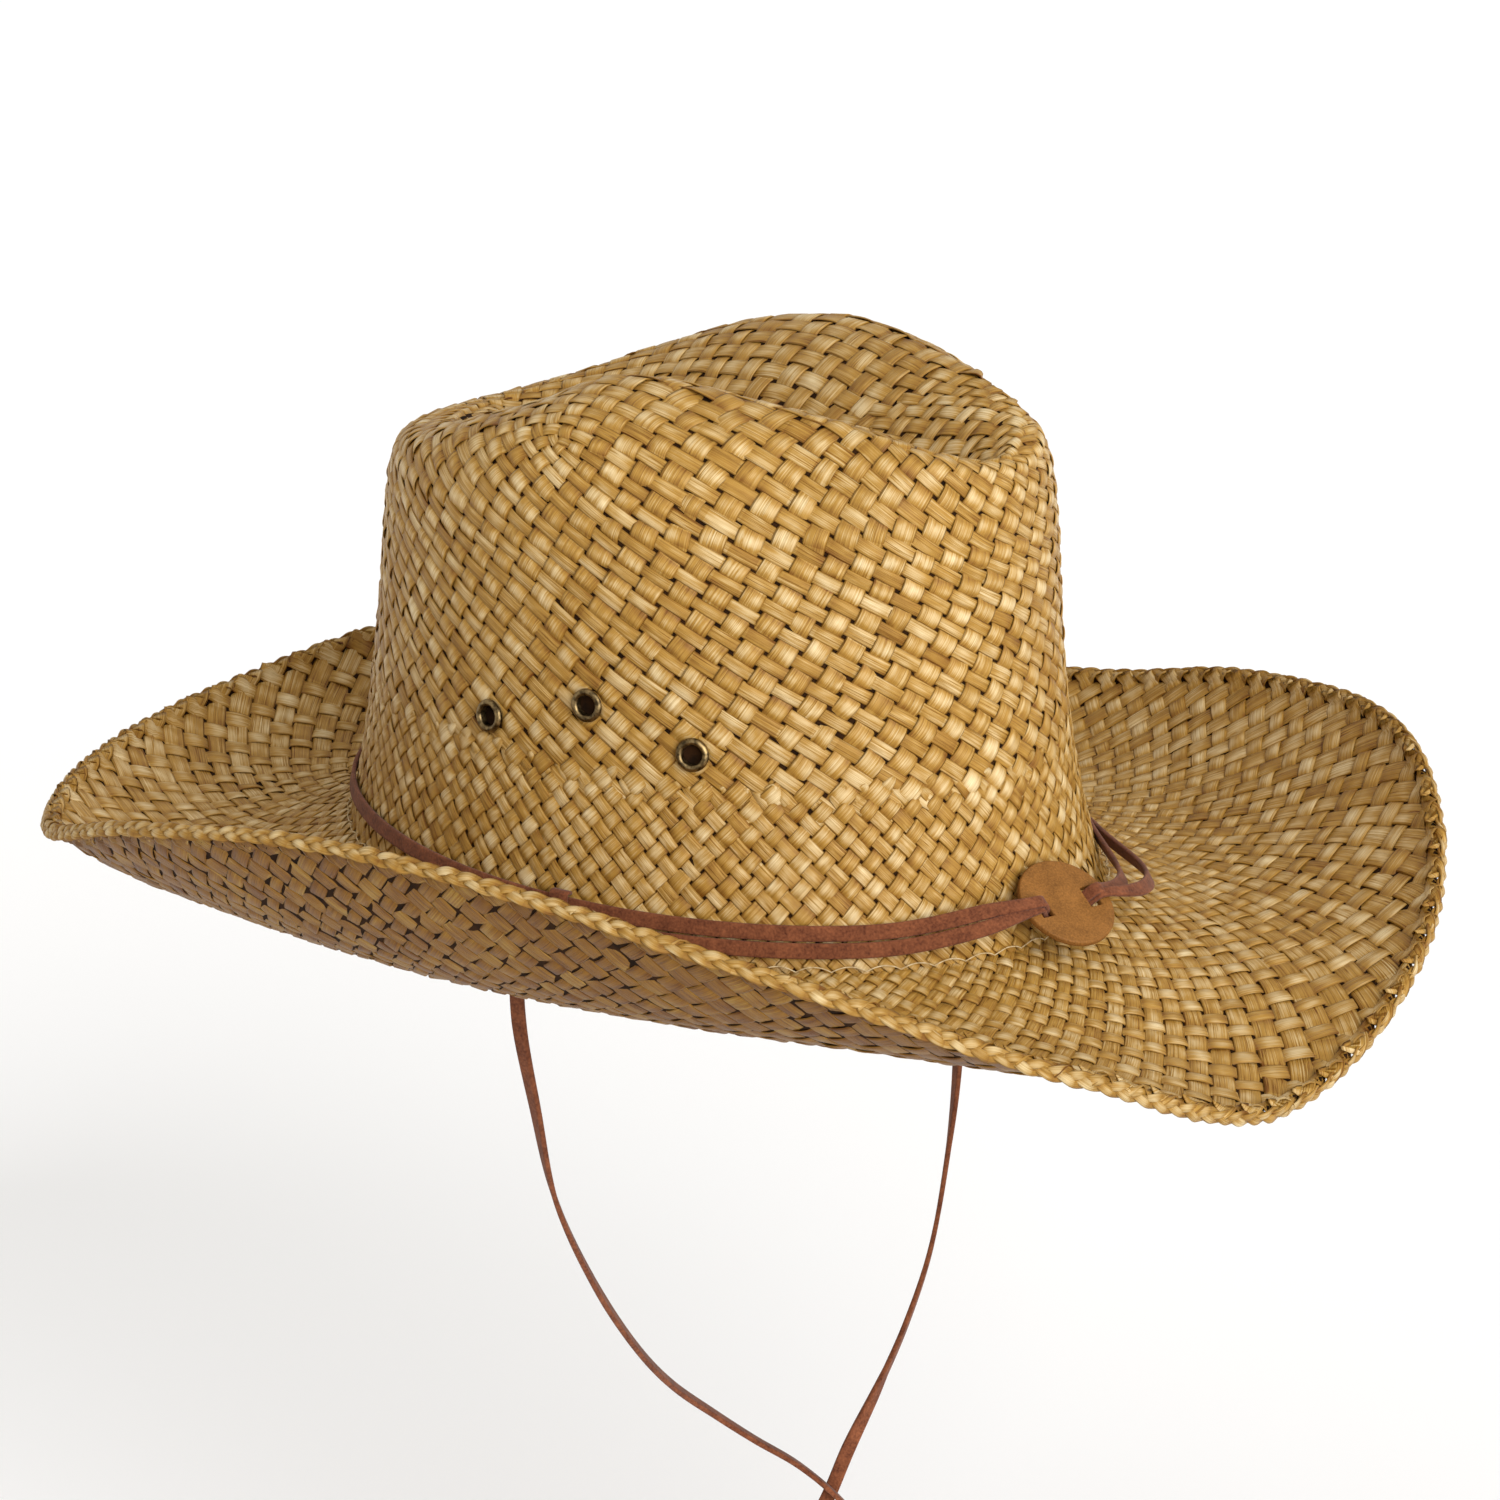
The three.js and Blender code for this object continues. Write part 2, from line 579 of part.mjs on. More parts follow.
// The chin lace's route, from inside the crown on the wearer's right, down under the chin,
// round its own loop and up to the left side, with the points chosen by hand.
const CHIN_LACE_ROUTE = [
  [8, -79.1, 6], [6, -80.2, -3], [4, -80.2, -14], [4, -79.2, -28], [6, -75, -51], [5, -66, -78],
  [4, -50, -106], [2, -30, -132], [0, -13, -149], [2, 1, -161], [8, 11, -170], [17, 18, -176.5],
  [25, 23.5, -184], [27, 32, -195], [26, 37, -206], [25, 35, -218], [24, 25, -225], [23, 15, -219],
  [22.5, 13, -207], [22.5, 18, -195], [23, 25, -185], [25, 29.5, -173], [24.5, 42, -159],
  [21.5, 56, -147], [19, 68, -131], [17, 76, -108], [16, 80, -81], [14, 80.6, -50], [12, 80.4, -20],
  [10, 80.2, -3], [8, 79.1, 6],
];

function chinLaceSolid() {
  const path = new THREE.CatmullRomCurve3(CHIN_LACE_ROUTE.map(([x, y, z]) => new THREE.Vector3(x, y, z)));
  const section = new THREE.Shape(Array.from({ length: CHIN_LACE_SIDES }, (_, i) => {
    const turn = ((i + 0.5) / CHIN_LACE_SIDES) * 2 * Math.PI;
    return new THREE.Vector2(LACE_WIDTH / 2 * Math.cos(turn), CHIN_LACE_THICKNESS / 2 * Math.sin(turn));
  }));
  return new THREE.ExtrudeGeometry(section, {
    steps: CHIN_LACE_STEPS, extrudePath: path, bevelEnabled: false,
  });
}

// The hat

const hat = new THREE.Group();

function addPiece(name, geometry, look, place = {}) {
  geometry.computeVertexNormals();
  const mesh = new THREE.Mesh(geometry, new THREE.MeshStandardMaterial(look));
  mesh.name = name;
  if (place.position) mesh.position.copy(place.position);
  if (place.quaternion) mesh.quaternion.copy(place.quaternion);
  hat.add(mesh);
}

let crown = toManifold(crownSolid());
for (const { name, middle, out } of eyeletPlaces()) {
  const quaternion = alongOut(out);
  const hole = holeGeometry().applyQuaternion(quaternion).translate(...middle.toArray());
  crown = crown.subtract(toManifold(hole));
  addPiece(name, eyeletGeometry(), BRASS, { position: middle, quaternion });
}
addPiece('crown', fromManifold(crown), STRAW);
addPiece('brim', brimSolid(), STRAW);
addPiece('edge_braid', edgeBraidSolid(), STRAW);
addPiece('band_lace', bandLaceSolid(), SUEDE);
addPiece('front_lace', frontLaceSolid(), SUEDE);

const discFrame = new THREE.Matrix4().makeBasis(discAcross, discUp, discNormal);
addPiece('disc', discSolid(), DISC_LEATHER, {
  position: discMiddle,
  quaternion: new THREE.Quaternion().setFromRotationMatrix(discFrame),
});

for (const [side, sign] of [['left', 1], ['right', -1]]) {
  const { middle, up, out } = stationOnWall(sign * (90 - KEEPER_TURN));
  const frame = new THREE.Matrix4().makeBasis(out, up, out.clone().cross(up));
  addPiece(`keeper_${side}`, keeperSolid(), SUEDE, {
    position: middle.addScaledVector(out, -LACE_THICKNESS / 2),
    quaternion: new THREE.Quaternion().setFromRotationMatrix(frame),
  });
}

addPiece('chin_lace', chinLaceSolid(), SUEDE);

export default hat;
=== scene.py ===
"""A woven straw western hat with a leather lace, held up as a head holds it.

Metres, +Z up. The origin is the middle of the head opening, +X is the hat's front.
"""

import math

import bpy
import numpy as np
from mathutils import Matrix, Vector


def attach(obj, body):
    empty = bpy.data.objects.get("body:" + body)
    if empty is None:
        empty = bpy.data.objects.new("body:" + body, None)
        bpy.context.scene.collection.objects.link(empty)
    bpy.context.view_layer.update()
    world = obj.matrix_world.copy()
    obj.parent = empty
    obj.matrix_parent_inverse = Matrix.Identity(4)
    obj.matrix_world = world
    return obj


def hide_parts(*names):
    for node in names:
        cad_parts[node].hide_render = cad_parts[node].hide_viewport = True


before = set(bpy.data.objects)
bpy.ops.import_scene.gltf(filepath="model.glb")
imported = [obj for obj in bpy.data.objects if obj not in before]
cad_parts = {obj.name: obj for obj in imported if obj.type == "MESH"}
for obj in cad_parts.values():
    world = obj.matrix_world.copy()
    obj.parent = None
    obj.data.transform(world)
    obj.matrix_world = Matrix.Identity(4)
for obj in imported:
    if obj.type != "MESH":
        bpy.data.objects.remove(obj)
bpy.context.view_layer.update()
bpy.ops.object.select_all(action="DESELECT")


# Camera
# The hat is seen from its right-hand front and a little from above, through a long lens held
# slightly off level.

CAMERA_TURN = math.radians(40.18)
CAMERA_RISE = math.radians(18.72)
CAMERA_ROLL = math.radians(1.96)
CAMERA_DISTANCE = 1.34208
CAMERA_ASIDE = 0.00576
CAMERA_ABOVE = 0.02148
CAMERA_LENS_MM = 127.54


def direction(turn, rise):
    """The way out from the hat at a turn from its right-hand side and a rise over the level."""
    return Vector((
        math.sin(turn) * math.cos(rise), -math.cos(turn) * math.cos(rise), math.sin(rise)
    ))


camera_back = direction(CAMERA_TURN, CAMERA_RISE)
camera_right = Vector((math.cos(CAMERA_TURN), math.sin(CAMERA_TURN), 0))
camera_up = camera_back.cross(camera_right)
bpy.ops.object.camera_add()
camera = bpy.context.object
camera.data.lens = CAMERA_LENS_MM
camera.matrix_world = (
    Matrix.Translation(
        camera_back * CAMERA_DISTANCE + camera_right * CAMERA_ASIDE + camera_up * CAMERA_ABOVE
    )
    @ Matrix((camera_right, camera_up, camera_back)).transposed().to_4x4()
    @ Matrix.Rotation(CAMERA_ROLL, 4, "Z")
)
bpy.context.scene.camera = camera


# Chin lace
# One flat suede lace, from inside the crown on the wearer's right, down under the chin, once
# round itself in a loose loop and up to the left side. It was cut from a hide with the nap
# out, so its faces are soft, and it has twisted as it hangs.

CHIN_LACE_WIDTH = 0.0038
CHIN_LACE_THICKNESS = 0.0013
CHIN_LACE_STEP = 0.0015
SUEDE_NAP = 1500
CHIN_LACE_ROUTE = [
    (0.008, -0.0791, 0.006), (0.006, -0.0802, -0.003), (0.004, -0.0802, -0.014),
    (0.004, -0.0792, -0.028), (0.006, -0.075, -0.051), (0.005, -0.066, -0.078),
    (0.004, -0.050, -0.106), (0.002, -0.030, -0.132), (0.000, -0.013, -0.149),
    (0.002, 0.001, -0.161), (0.008, 0.011, -0.170), (0.017, 0.018, -0.1765),
    (0.025, 0.0235, -0.184), (0.027, 0.032, -0.195), (0.026, 0.037, -0.206),
    (0.025, 0.035, -0.218), (0.024, 0.025, -0.225), (0.023, 0.015, -0.219),
    (0.0225, 0.013, -0.207), (0.0225, 0.018, -0.195), (0.023, 0.025, -0.185),
    (0.025, 0.0295, -0.173), (0.0245, 0.042, -0.159), (0.0215, 0.056, -0.147),
    (0.019, 0.068, -0.131), (0.017, 0.076, -0.108), (0.016, 0.080, -0.081),
    (0.014, 0.0806, -0.050), (0.012, 0.0804, -0.020), (0.010, 0.0802, -0.003),
    (0.008, 0.0791, 0.006),
]
# How far the lace has turned about its own length, in degrees, by its share of the length
CHIN_LACE_TWIST = [
    (0.00, 0), (0.08, -15), (0.16, 38), (0.22, 44), (0.30, 30), (0.40, 16), (0.46, 20),
    (0.54, 100), (0.62, 215), (0.66, 235), (0.71, 300), (0.82, 315), (0.90, 375), (1.00, 360),
]
# A quarter of a cut lace's section, as shares of half its width and of half its thickness
LACE_CORNERS = [(1, 0.0), (0.97, 0.7), (0.86, 1.0), (0.45, 0.95), (0, 0.93)]


class Value:
    """A socket of a material's nodes. Arithmetic on values adds Math nodes."""

    def __init__(self, tree, socket=None):
        self.tree = tree
        self.socket = socket

    def node(self, kind, settings, sockets, output=0):
        made = self.tree.nodes.new("ShaderNode" + kind)
        for name, setting in settings.items():
            if name == "stops":
                for stop, (place, colour) in enumerate(setting):
                    if stop > 1:
                        made.color_ramp.elements.new(place)
                    made.color_ramp.elements[stop].position = place
                    made.color_ramp.elements[stop].color = (*colour, 1)
            else:
                setattr(made, name, setting)
        for name, value in sockets.items():
            if isinstance(value, Value):
                self.tree.links.new(value.socket, made.inputs[name])
            else:
                made.inputs[name].default_value = value
        return Value(self.tree, made.outputs[output])

    def math(self, operation, *numbers):
        return self.node("Math", {"operation": operation}, dict(enumerate(numbers)))

    def __add__(self, other):
        return self.math("ADD", self, other)

    def __sub__(self, other):
        return self.math("SUBTRACT", self, other)

    def __mul__(self, other):
        return self.math("MULTIPLY", self, other)

    def __rsub__(self, other):
        return self.math("SUBTRACT", other, self)

    __radd__ = __add__
    __rmul__ = __mul__

    def noise(self, vector, scale, detail):
        return self.node("TexNoise", {}, {"Vector": vector, "Scale": scale, "Detail": detail})

    def ramp(self, *stops):
        """A colour by this value, through stops of a place and 0 to 255 colour numbers."""
        stops = [(place, colour(*shade)) for place, shade in stops]
        return self.node("ValToRGB", {"stops": stops}, {"Fac": self})

    def bump(self, strength, distance):
        """A bent normal, with this value as the height."""
        return self.node(
            "Bump", {}, {"Strength": strength, "Distance": distance, "Height": self}
        )


def new_material(name, principled):
    """A material with the Principled shader's own numbers set, and its nodes as a Value."""
    material = bpy.data.materials.new(name)
    material.use_nodes = True
    shader = material.node_tree.nodes["Principled BSDF"]
    for socket, number in principled.items():
        shader.inputs[socket].default_value = number
    return material, Value(material.node_tree)


def connect(material, **sockets):
    """Links values to the Principled shader, such as Base_Color=colour."""
    shader = material.node_tree.nodes["Principled BSDF"]
    for name, value in sockets.items():
        material.node_tree.links.new(value.socket, shader.inputs[name.replace("_", " ")])


def colour(red, green, blue):
    """A linear colour from the 0 to 255 numbers of a colour chart."""
    return tuple(
        (c / 3294.6) if c <= 10.3 else (((c / 255) + 0.055) / 1.055) ** 2.4
        for c in (red, green, blue)
    )


# Napped leather: blotches a few millimetres wide under a fine nap
suede, nodes = new_material(
    "suede", {"Roughness": 0.9, "Specular IOR Level": 0.2, "Sheen Weight": 0.08}
)
place = nodes.node("TexCoord", {}, {}, "Object")
blotch = nodes.noise(place, 260, 3)
nap = nodes.noise(place, SUEDE_NAP, 4)
connect(
    suede,
    Base_Color=(blotch * 0.45 + nap * 0.55).ramp((0.30, (70, 32, 17)), (0.72, (136, 80, 50))),
    Normal=nap.bump(0.5, 0.0004),
)


def cubic(t, start, end, start_slope, end_slope):
    """The cubic from start, at t 0, to end, at t 1, with its slopes there."""
    return (
        (2 * t**3 - 3 * t**2 + 1) * start + (t**3 - 2 * t**2 + t) * start_slope
        + (3 * t**2 - 2 * t**3) * end + (t**3 - t**2) * end_slope
    )


def step_lengths(points):
    """The distances from each point of a line to the next."""
    return np.linalg.norm(np.diff(points, axis=0), axis=1)


def ways_along(points):
    """The length of the line up to each of its points."""
    return np.concatenate([[0], np.cumsum(step_lengths(points))])


def smooth_line(points, step):
    """Points about a step apart on a smooth curve through the given ones."""
    points = np.array(points, float)
    knots = np.concatenate([[0], np.cumsum(np.sqrt(step_lengths(points)))])
    slopes = np.gradient(points, knots, axis=0, edge_order=2)
    places = np.linspace(0, knots[-1], int(step_lengths(points).sum() / step) + 1)
    i = np.clip(np.searchsorted(knots, places, "right") - 1, 0, len(knots) - 2)
    span = (knots[i + 1] - knots[i])[:, None]
    t = (places - knots[i])[:, None] / span
    return cubic(t, points[i], points[i + 1], span * slopes[i], span * slopes[i + 1])


def unit(vectors):
    """The vectors at a length of one."""
    return vectors / np.linalg.norm(vectors, axis=-1, keepdims=True)


def carried_normals(line, first):
    """A direction square to the line, carried along it from the first with no turn of its own."""
    ahead = unit(np.gradient(line, axis=0))
    normal = np.array(first, float)
    normals = []
    for along in ahead:
        normal = unit(normal - along * (normal @ along))
        normals.append(normal)
    return np.array(normals)


def mesh_object(name, points, quads, uv=None, **attributes):
    """A smooth shaded object from arrays of points and of faces with four corners. uv and the
    attributes have one entry for each point."""
    mesh = bpy.data.meshes.new(name)
    mesh.vertices.add(len(points))
    mesh.vertices.foreach_set("co", np.ascontiguousarray(points, np.float32).ravel())
    mesh.loops.add(quads.size)
    mesh.loops.foreach_set("vertex_index", quads.astype(np.int32).ravel())
    mesh.polygons.add(len(quads))
    mesh.polygons.foreach_set("loop_start", np.arange(0, quads.size, 4, dtype=np.int32))
    mesh.polygons.foreach_set("use_smooth", np.ones(len(quads), bool))
    if uv is not None:
        layer = mesh.uv_layers.new(name="UVMap")
        layer.data.foreach_set("uv", uv[quads.ravel()].astype(np.float32).ravel())
    for attribute, values in attributes.items():
        mesh.attributes.new(attribute, "FLOAT", "POINT").data.foreach_set(
            "value", values.astype(np.float32)
        )
    mesh.update(calc_edges=True)
    made = bpy.data.objects.new(name, mesh)
    bpy.context.collection.objects.link(made)
    return made


def tube_faces(count, sides, closed=False):
    """Faces between sections of a tube, each with the same even number of corners, and over
    its two ends."""
    spans = count if closed else count - 1
    section, side = np.meshgrid(np.arange(spans), np.arange(sides), indexing="ij")
    ahead = (section + 1) % count
    over = (side + 1) % sides
    faces = np.stack([
        section * sides + side, section * sides + over, ahead * sides + over, ahead * sides + side,
    ], axis=-1).reshape(-1, 4)
    if closed:
        return faces
    half = np.arange(sides // 2 - 1)
    end = np.stack([half, sides - 1 - half, sides - 2 - half, half + 1], axis=-1)
    return np.concatenate([faces, end, end[:, ::-1] + (count - 1) * sides])


def lace_section(width, thickness):
    """The corners of a cut lace's section, counterclockwise: across it and out of its face."""
    quarter = np.array(LACE_CORNERS) * (width / 2, thickness / 2)
    top = np.concatenate([quarter, quarter[-2::-1] * (-1, 1)])
    return np.concatenate([top, top[-2:0:-1] * (1, -1)])


def swept(line, normals, section):
    """Points of a section carried along a line, with its second axis on the normals."""
    ahead = unit(np.gradient(line, axis=0))
    across = np.cross(normals, ahead)
    return (
        line[:, None]
        + section[None, :, :1] * across[:, None]
        + section[None, :, 1:] * normals[:, None]
    ).reshape(-1, 3)


chin_line = smooth_line(CHIN_LACE_ROUTE, CHIN_LACE_STEP)
chin_turn = np.radians(
    np.interp(np.linspace(0, 1, len(chin_line)), *np.array(CHIN_LACE_TWIST).T)
)[:, None]
chin_normals = carried_normals(chin_line, (0, -1, 0))
chin_across = np.cross(unit(np.gradient(chin_line, axis=0)), chin_normals)
chin_normals = chin_normals * np.cos(chin_turn) + chin_across * np.sin(chin_turn)
chin_section = lace_section(CHIN_LACE_WIDTH, CHIN_LACE_THICKNESS)
chin_lace = mesh_object(
    "chin_lace_suede",
    swept(chin_line, chin_normals, chin_section),
    tube_faces(len(chin_line), len(chin_section)),
)
chin_lace.data.materials.append(suede)
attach(chin_lace, "root")
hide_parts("chin_lace")
chin_line[::4].tolist() + [chin_line[-1].tolist()]


# Crown
# The crown is woven in one piece from flat straw strands, crossing on the bias, one over and
# one under. It starts as a square lattice in the crease and goes round as slanted rows, and
# low on the wall half as many strands again are worked in. Then it was pressed over a block.

HEAD_LENGTH = 0.204
HEAD_WIDTH = 0.171
CROWN_HEIGHT = 0.1275
CROWN_TAPER = 0.014
CROWN_TAPER_HEIGHT = 0.050
CROWN_LEAN_BACK = 0.006
CROWN_LEAN_HEIGHT = 0.045
SHOULDER_START = 0.068
RIDGE_HALF_LENGTH = 0.0805
RIDGE_HALF_WIDTH = 0.044
CREASE_ROUNDING = 1.2
# The ridge round the crown's top, from back to front, as shares of the sizes above
RIDGE = [
    {"along": -1.00, "width": 1.16, "left": 0.770, "right": 0.760, "floor": 0.760},
    {"along": -0.91, "width": 1.16, "left": 0.805, "right": 0.765, "floor": 0.745},
    {"along": -0.69, "width": 1.13, "left": 0.875, "right": 0.810, "floor": 0.735},
    {"along": -0.37, "width": 1.05, "left": 0.955, "right": 0.900, "floor": 0.760},
    {"along": 0.00, "width": 1.00, "left": 1.000, "right": 1.000, "floor": 0.785},
    {"along": 0.41, "width": 0.90, "left": 0.992, "right": 0.992, "floor": 0.800},
    {"along": 0.76, "width": 0.94, "left": 0.965, "right": 0.965, "floor": 0.835},
    {"along": 0.94, "width": 1.20, "left": 0.930, "right": 0.930, "floor": 0.880},
    {"along": 1.00, "width": 1.28, "left": 0.905, "right": 0.905, "floor": 0.905},
]
# The shoulder under the ridge, by degrees from the front
SHOULDER = [
    {"turn": 0, "out": 0.96, "down": 0.012, "bend": 2.2},
    {"turn": 22.5, "out": 0.84, "down": 0.030, "bend": 1.6},
    {"turn": 45, "out": 0.62, "down": 0.090, "bend": 1.1},
    {"turn": 67.5, "out": 0.78, "down": 0.075, "bend": 1.8},
    {"turn": 90, "out": 0.87, "down": 0.075, "bend": 2.8},
    {"turn": 112.5, "out": 0.90, "down": 0.028, "bend": 2.8},
    {"turn": 135, "out": 0.93, "down": 0.020, "bend": 2.8},
    {"turn": 157.5, "out": 0.97, "down": 0.012, "bend": 3.0},
    {"turn": 180, "out": 0.97, "down": 0.012, "bend": 3.0},
]
SHEET_THICKNESS = 0.002
# Small steps to either side that give the way along a surface
SMALL_TURN = 0.01
SMALL_RISE = 0.001
# The holes for three eyelets on each side
EYELET_BORE = 0.0048
EYELET_WALL = 0.0006
EYELETS = [
    {"name": "front", "turn": 58.3, "height": 0.375},
    {"name": "middle", "turn": 75.5, "height": 0.437},
    {"name": "back", "turn": 93.5, "height": 0.368},
]
HOLE_CLEARANCE = 0.0003
LEAST_STRAND_WIDTH = 0.0004
# The points of a smooth surface, and the rows worked out for each stretch of the crown
SHEET_COLUMNS = 720
SHEET_ROWS = 300
CLOSED_SCALE = 7.0
CREASE_ROWS = 90
SHOULDER_ROWS = 80
WALL_ROWS = 50
WALL_END = -0.0005

# The weave: strands that lean each way, half the lattice's width in strands, the levels of
# crossings that are smoothed, how much closer the rows lie than in a square weave, the level
# at the join and the height of the join on the wall
CROWN_STRANDS = 64
LATTICE_HALF = CROWN_STRANDS // 4
RELAXED_LEVELS = 8
SMOOTHING_ROUNDS = 60
LATTICE_SPREAD = 1.15
ROW_CLOSENESS = 1.25
JOIN_LEVEL = 42
JOIN_HEIGHT = 0.037
FOOT_STRANDS = 96
# How far the weave is twisted round the crown, in degrees, by the share of the way down
CROWN_TWIST = [
    {"down": 0.00, "turn": -95}, {"down": 0.28, "turn": -95}, {"down": 0.45, "turn": -83},
    {"down": 0.62, "turn": -65}, {"down": 0.78, "turn": -55}, {"down": 1.00, "turn": -53},
]
STEPS_PER_CROSSING = 5
STRAW_HALF_THICKNESS = 0.00025
STRAW_DEPTH = 0.0008
# The strands that lean one way stay flat, the others bulge over them: how much of its place
# a strand fills and how far it rises and dips
FLAT_FILL = 0.85
FLAT_WAVE = 0.00016
RAISED_FILL = 0.91
RAISED_WAVE = 0.00042
# How uneven the strands are: their widths, as shares of the spacing, and their lean
WIDTH_SCATTER = 0.06
STRAND_DRIFT = 0.02
STRAND_LEAN = 0.04
# The loose ends, in crossings: where they lie from the end of the crown's own strands, how
# early the foot's strands start, and the stretch in which an end narrows and sinks
CROWN_END = 1.6
CROWN_END_SCATTER = (0.3, 1.0)
FOOT_START = 0.9
FOOT_START_SCATTER = (0.2, 1.6)
LOOSE_END_LENGTH = 1.3
LOOSE_END_WIDTH = 0.35
LOOSE_END_SINK = 0.0009
SHADE_THICKNESS = 0.0001
SHADE_DEPTH = 0.00096
SHADE_COLUMNS = 144
SHADE_ROWS = 50
SHADE_START = 0.002
# The section of a flattened straw, as shares of its half width and half thickness
STRAW_SECTION = np.array([
    (1, 0), (0.80, 1), (-0.80, 1), (-1, 0), (-0.80, -1), (0.80, -1),
])
# How far across the straw each corner of the section is, for the pattern of its fibres
STRAW_ACROSS = np.array([0.96, 0.87, 0.13, 0.04, 0.13, 0.87])
# The corners that lie on the hat's underside, which get a painted shade, and the tint of that
# painted shade
STRAW_UNDERSIDE_SHADE = np.array([0.5, 0, 0, 0.5, 1, 1])
UNDERSIDE_SHADE_TINT = (0.54, 0.43, 0.15, 1)


def smooth_table(rows, key, column, period=0):
    """A cubic through a table's rows, with the slope at each row taken from its neighbours."""
    keys = np.array([row[key] for row in rows], float)
    values = np.array([row[column] for row in rows], float)
    if period:
        keys = np.concatenate([[keys[-1] - period], keys, [keys[0] + period, keys[1] + period]])
        values = np.concatenate([[values[-1]], values, [values[0], values[1]]])
    below = np.maximum(np.arange(len(keys)) - 1, 0)
    above = np.minimum(np.arange(len(keys)) + 1, len(keys) - 1)
    slopes = (values[above] - values[below]) / (keys[above] - keys[below])

    def at(x):
        i = np.clip(np.searchsorted(keys, x, "right") - 1, 0, len(keys) - 2)
        span = keys[i + 1] - keys[i]
        t = np.clip((x - keys[i]) / span, 0, 1)
        return cubic(t, values[i], values[i + 1], span * slopes[i], span * slopes[i + 1])

    return at


ridge_width = smooth_table(RIDGE, "along", "width")
ridge_left = smooth_table(RIDGE, "along", "left")
ridge_right = smooth_table(RIDGE, "along", "right")
crease_floor = smooth_table(RIDGE, "along", "floor")
shoulder_out = smooth_table(SHOULDER, "turn", "out")
shoulder_down = smooth_table(SHOULDER, "turn", "down")
shoulder_bend = smooth_table(SHOULDER, "turn", "bend")


def wall_point(angle, height):
    """On the outside of the crown's wall, at an angle from the front and a height."""
    inset = CROWN_TAPER * (1 - np.exp(-height / CROWN_TAPER_HEIGHT))
    back = CROWN_LEAN_BACK * (1 - np.exp(-height / CROWN_LEAN_HEIGHT))
    return np.stack(np.broadcast_arrays(
        (HEAD_LENGTH / 2 - inset) * np.cos(angle) - back,
        (HEAD_WIDTH / 2 - inset) * np.sin(angle),
        height,
    ), axis=-1)


def ridge_height(along, side):
    """The ridge's height, by the way from back to front and from the right, -1, to the left."""
    mix = (1 + side) / 2
    return CROWN_HEIGHT * (ridge_left(along) * mix + ridge_right(along) * (1 - mix))


def ridge_point(angle):
    """On the ridge round the crown's top."""
    along = np.cos(angle)
    return np.stack([
        RIDGE_HALF_LENGTH * along,
        RIDGE_HALF_WIDTH * ridge_width(along) * np.sin(angle),
        ridge_height(along, np.sin(angle)),
    ], axis=-1)


def shoulder_point(angle, share):
    """From the wall, at share 0, over the knee to the ridge, at share 1."""
    start = wall_point(angle, SHOULDER_START)
    ridge = ridge_point(angle)
    turn = np.degrees(angle) % 360
    turn = np.where(turn > 180, 360 - turn, turn)
    knee = ridge + (start - ridge) * shoulder_out(turn)[..., None]
    knee[..., 2] = ridge[..., 2] - CROWN_HEIGHT * shoulder_down(turn)
    a = (1 - share) ** 2
    b = 2 * shoulder_bend(turn)[..., None] * share * (1 - share)
    c = share**2
    return (start * a + knee * b + ridge * c) / (a + b + c)


def crease_point(angle, share):
    """From the middle of the crease, at share 0, up to the ridge, at share 1."""
    ridge = ridge_point(angle)
    x = ridge[..., 0] * share
    y = ridge[..., 1] * share
    along = np.clip(x / RIDGE_HALF_LENGTH, -1, 1)
    half_width = RIDGE_HALF_WIDTH * ridge_width(along) * np.sqrt(np.maximum(1 - along**2, 1e-6))
    across = np.clip(y / half_width, -1, 1)
    floor = CROWN_HEIGHT * crease_floor(along)
    rise = np.sin(np.abs(across) * math.pi / 2) ** CREASE_ROUNDING
    return np.stack([x, y, floor + (ridge_height(along, across) - floor) * rise], axis=-1)


# Turns that are evenly spaced round the head line, not round the middle
fine_angles = np.linspace(0, 2 * math.pi, 4 * SHEET_COLUMNS + 1)
fine_length = ways_along(wall_point(fine_angles, 0.0))
head_round = fine_length[-1]
turn_angles = np.interp(np.linspace(0, head_round, SHEET_COLUMNS + 1), fine_length, fine_angles)


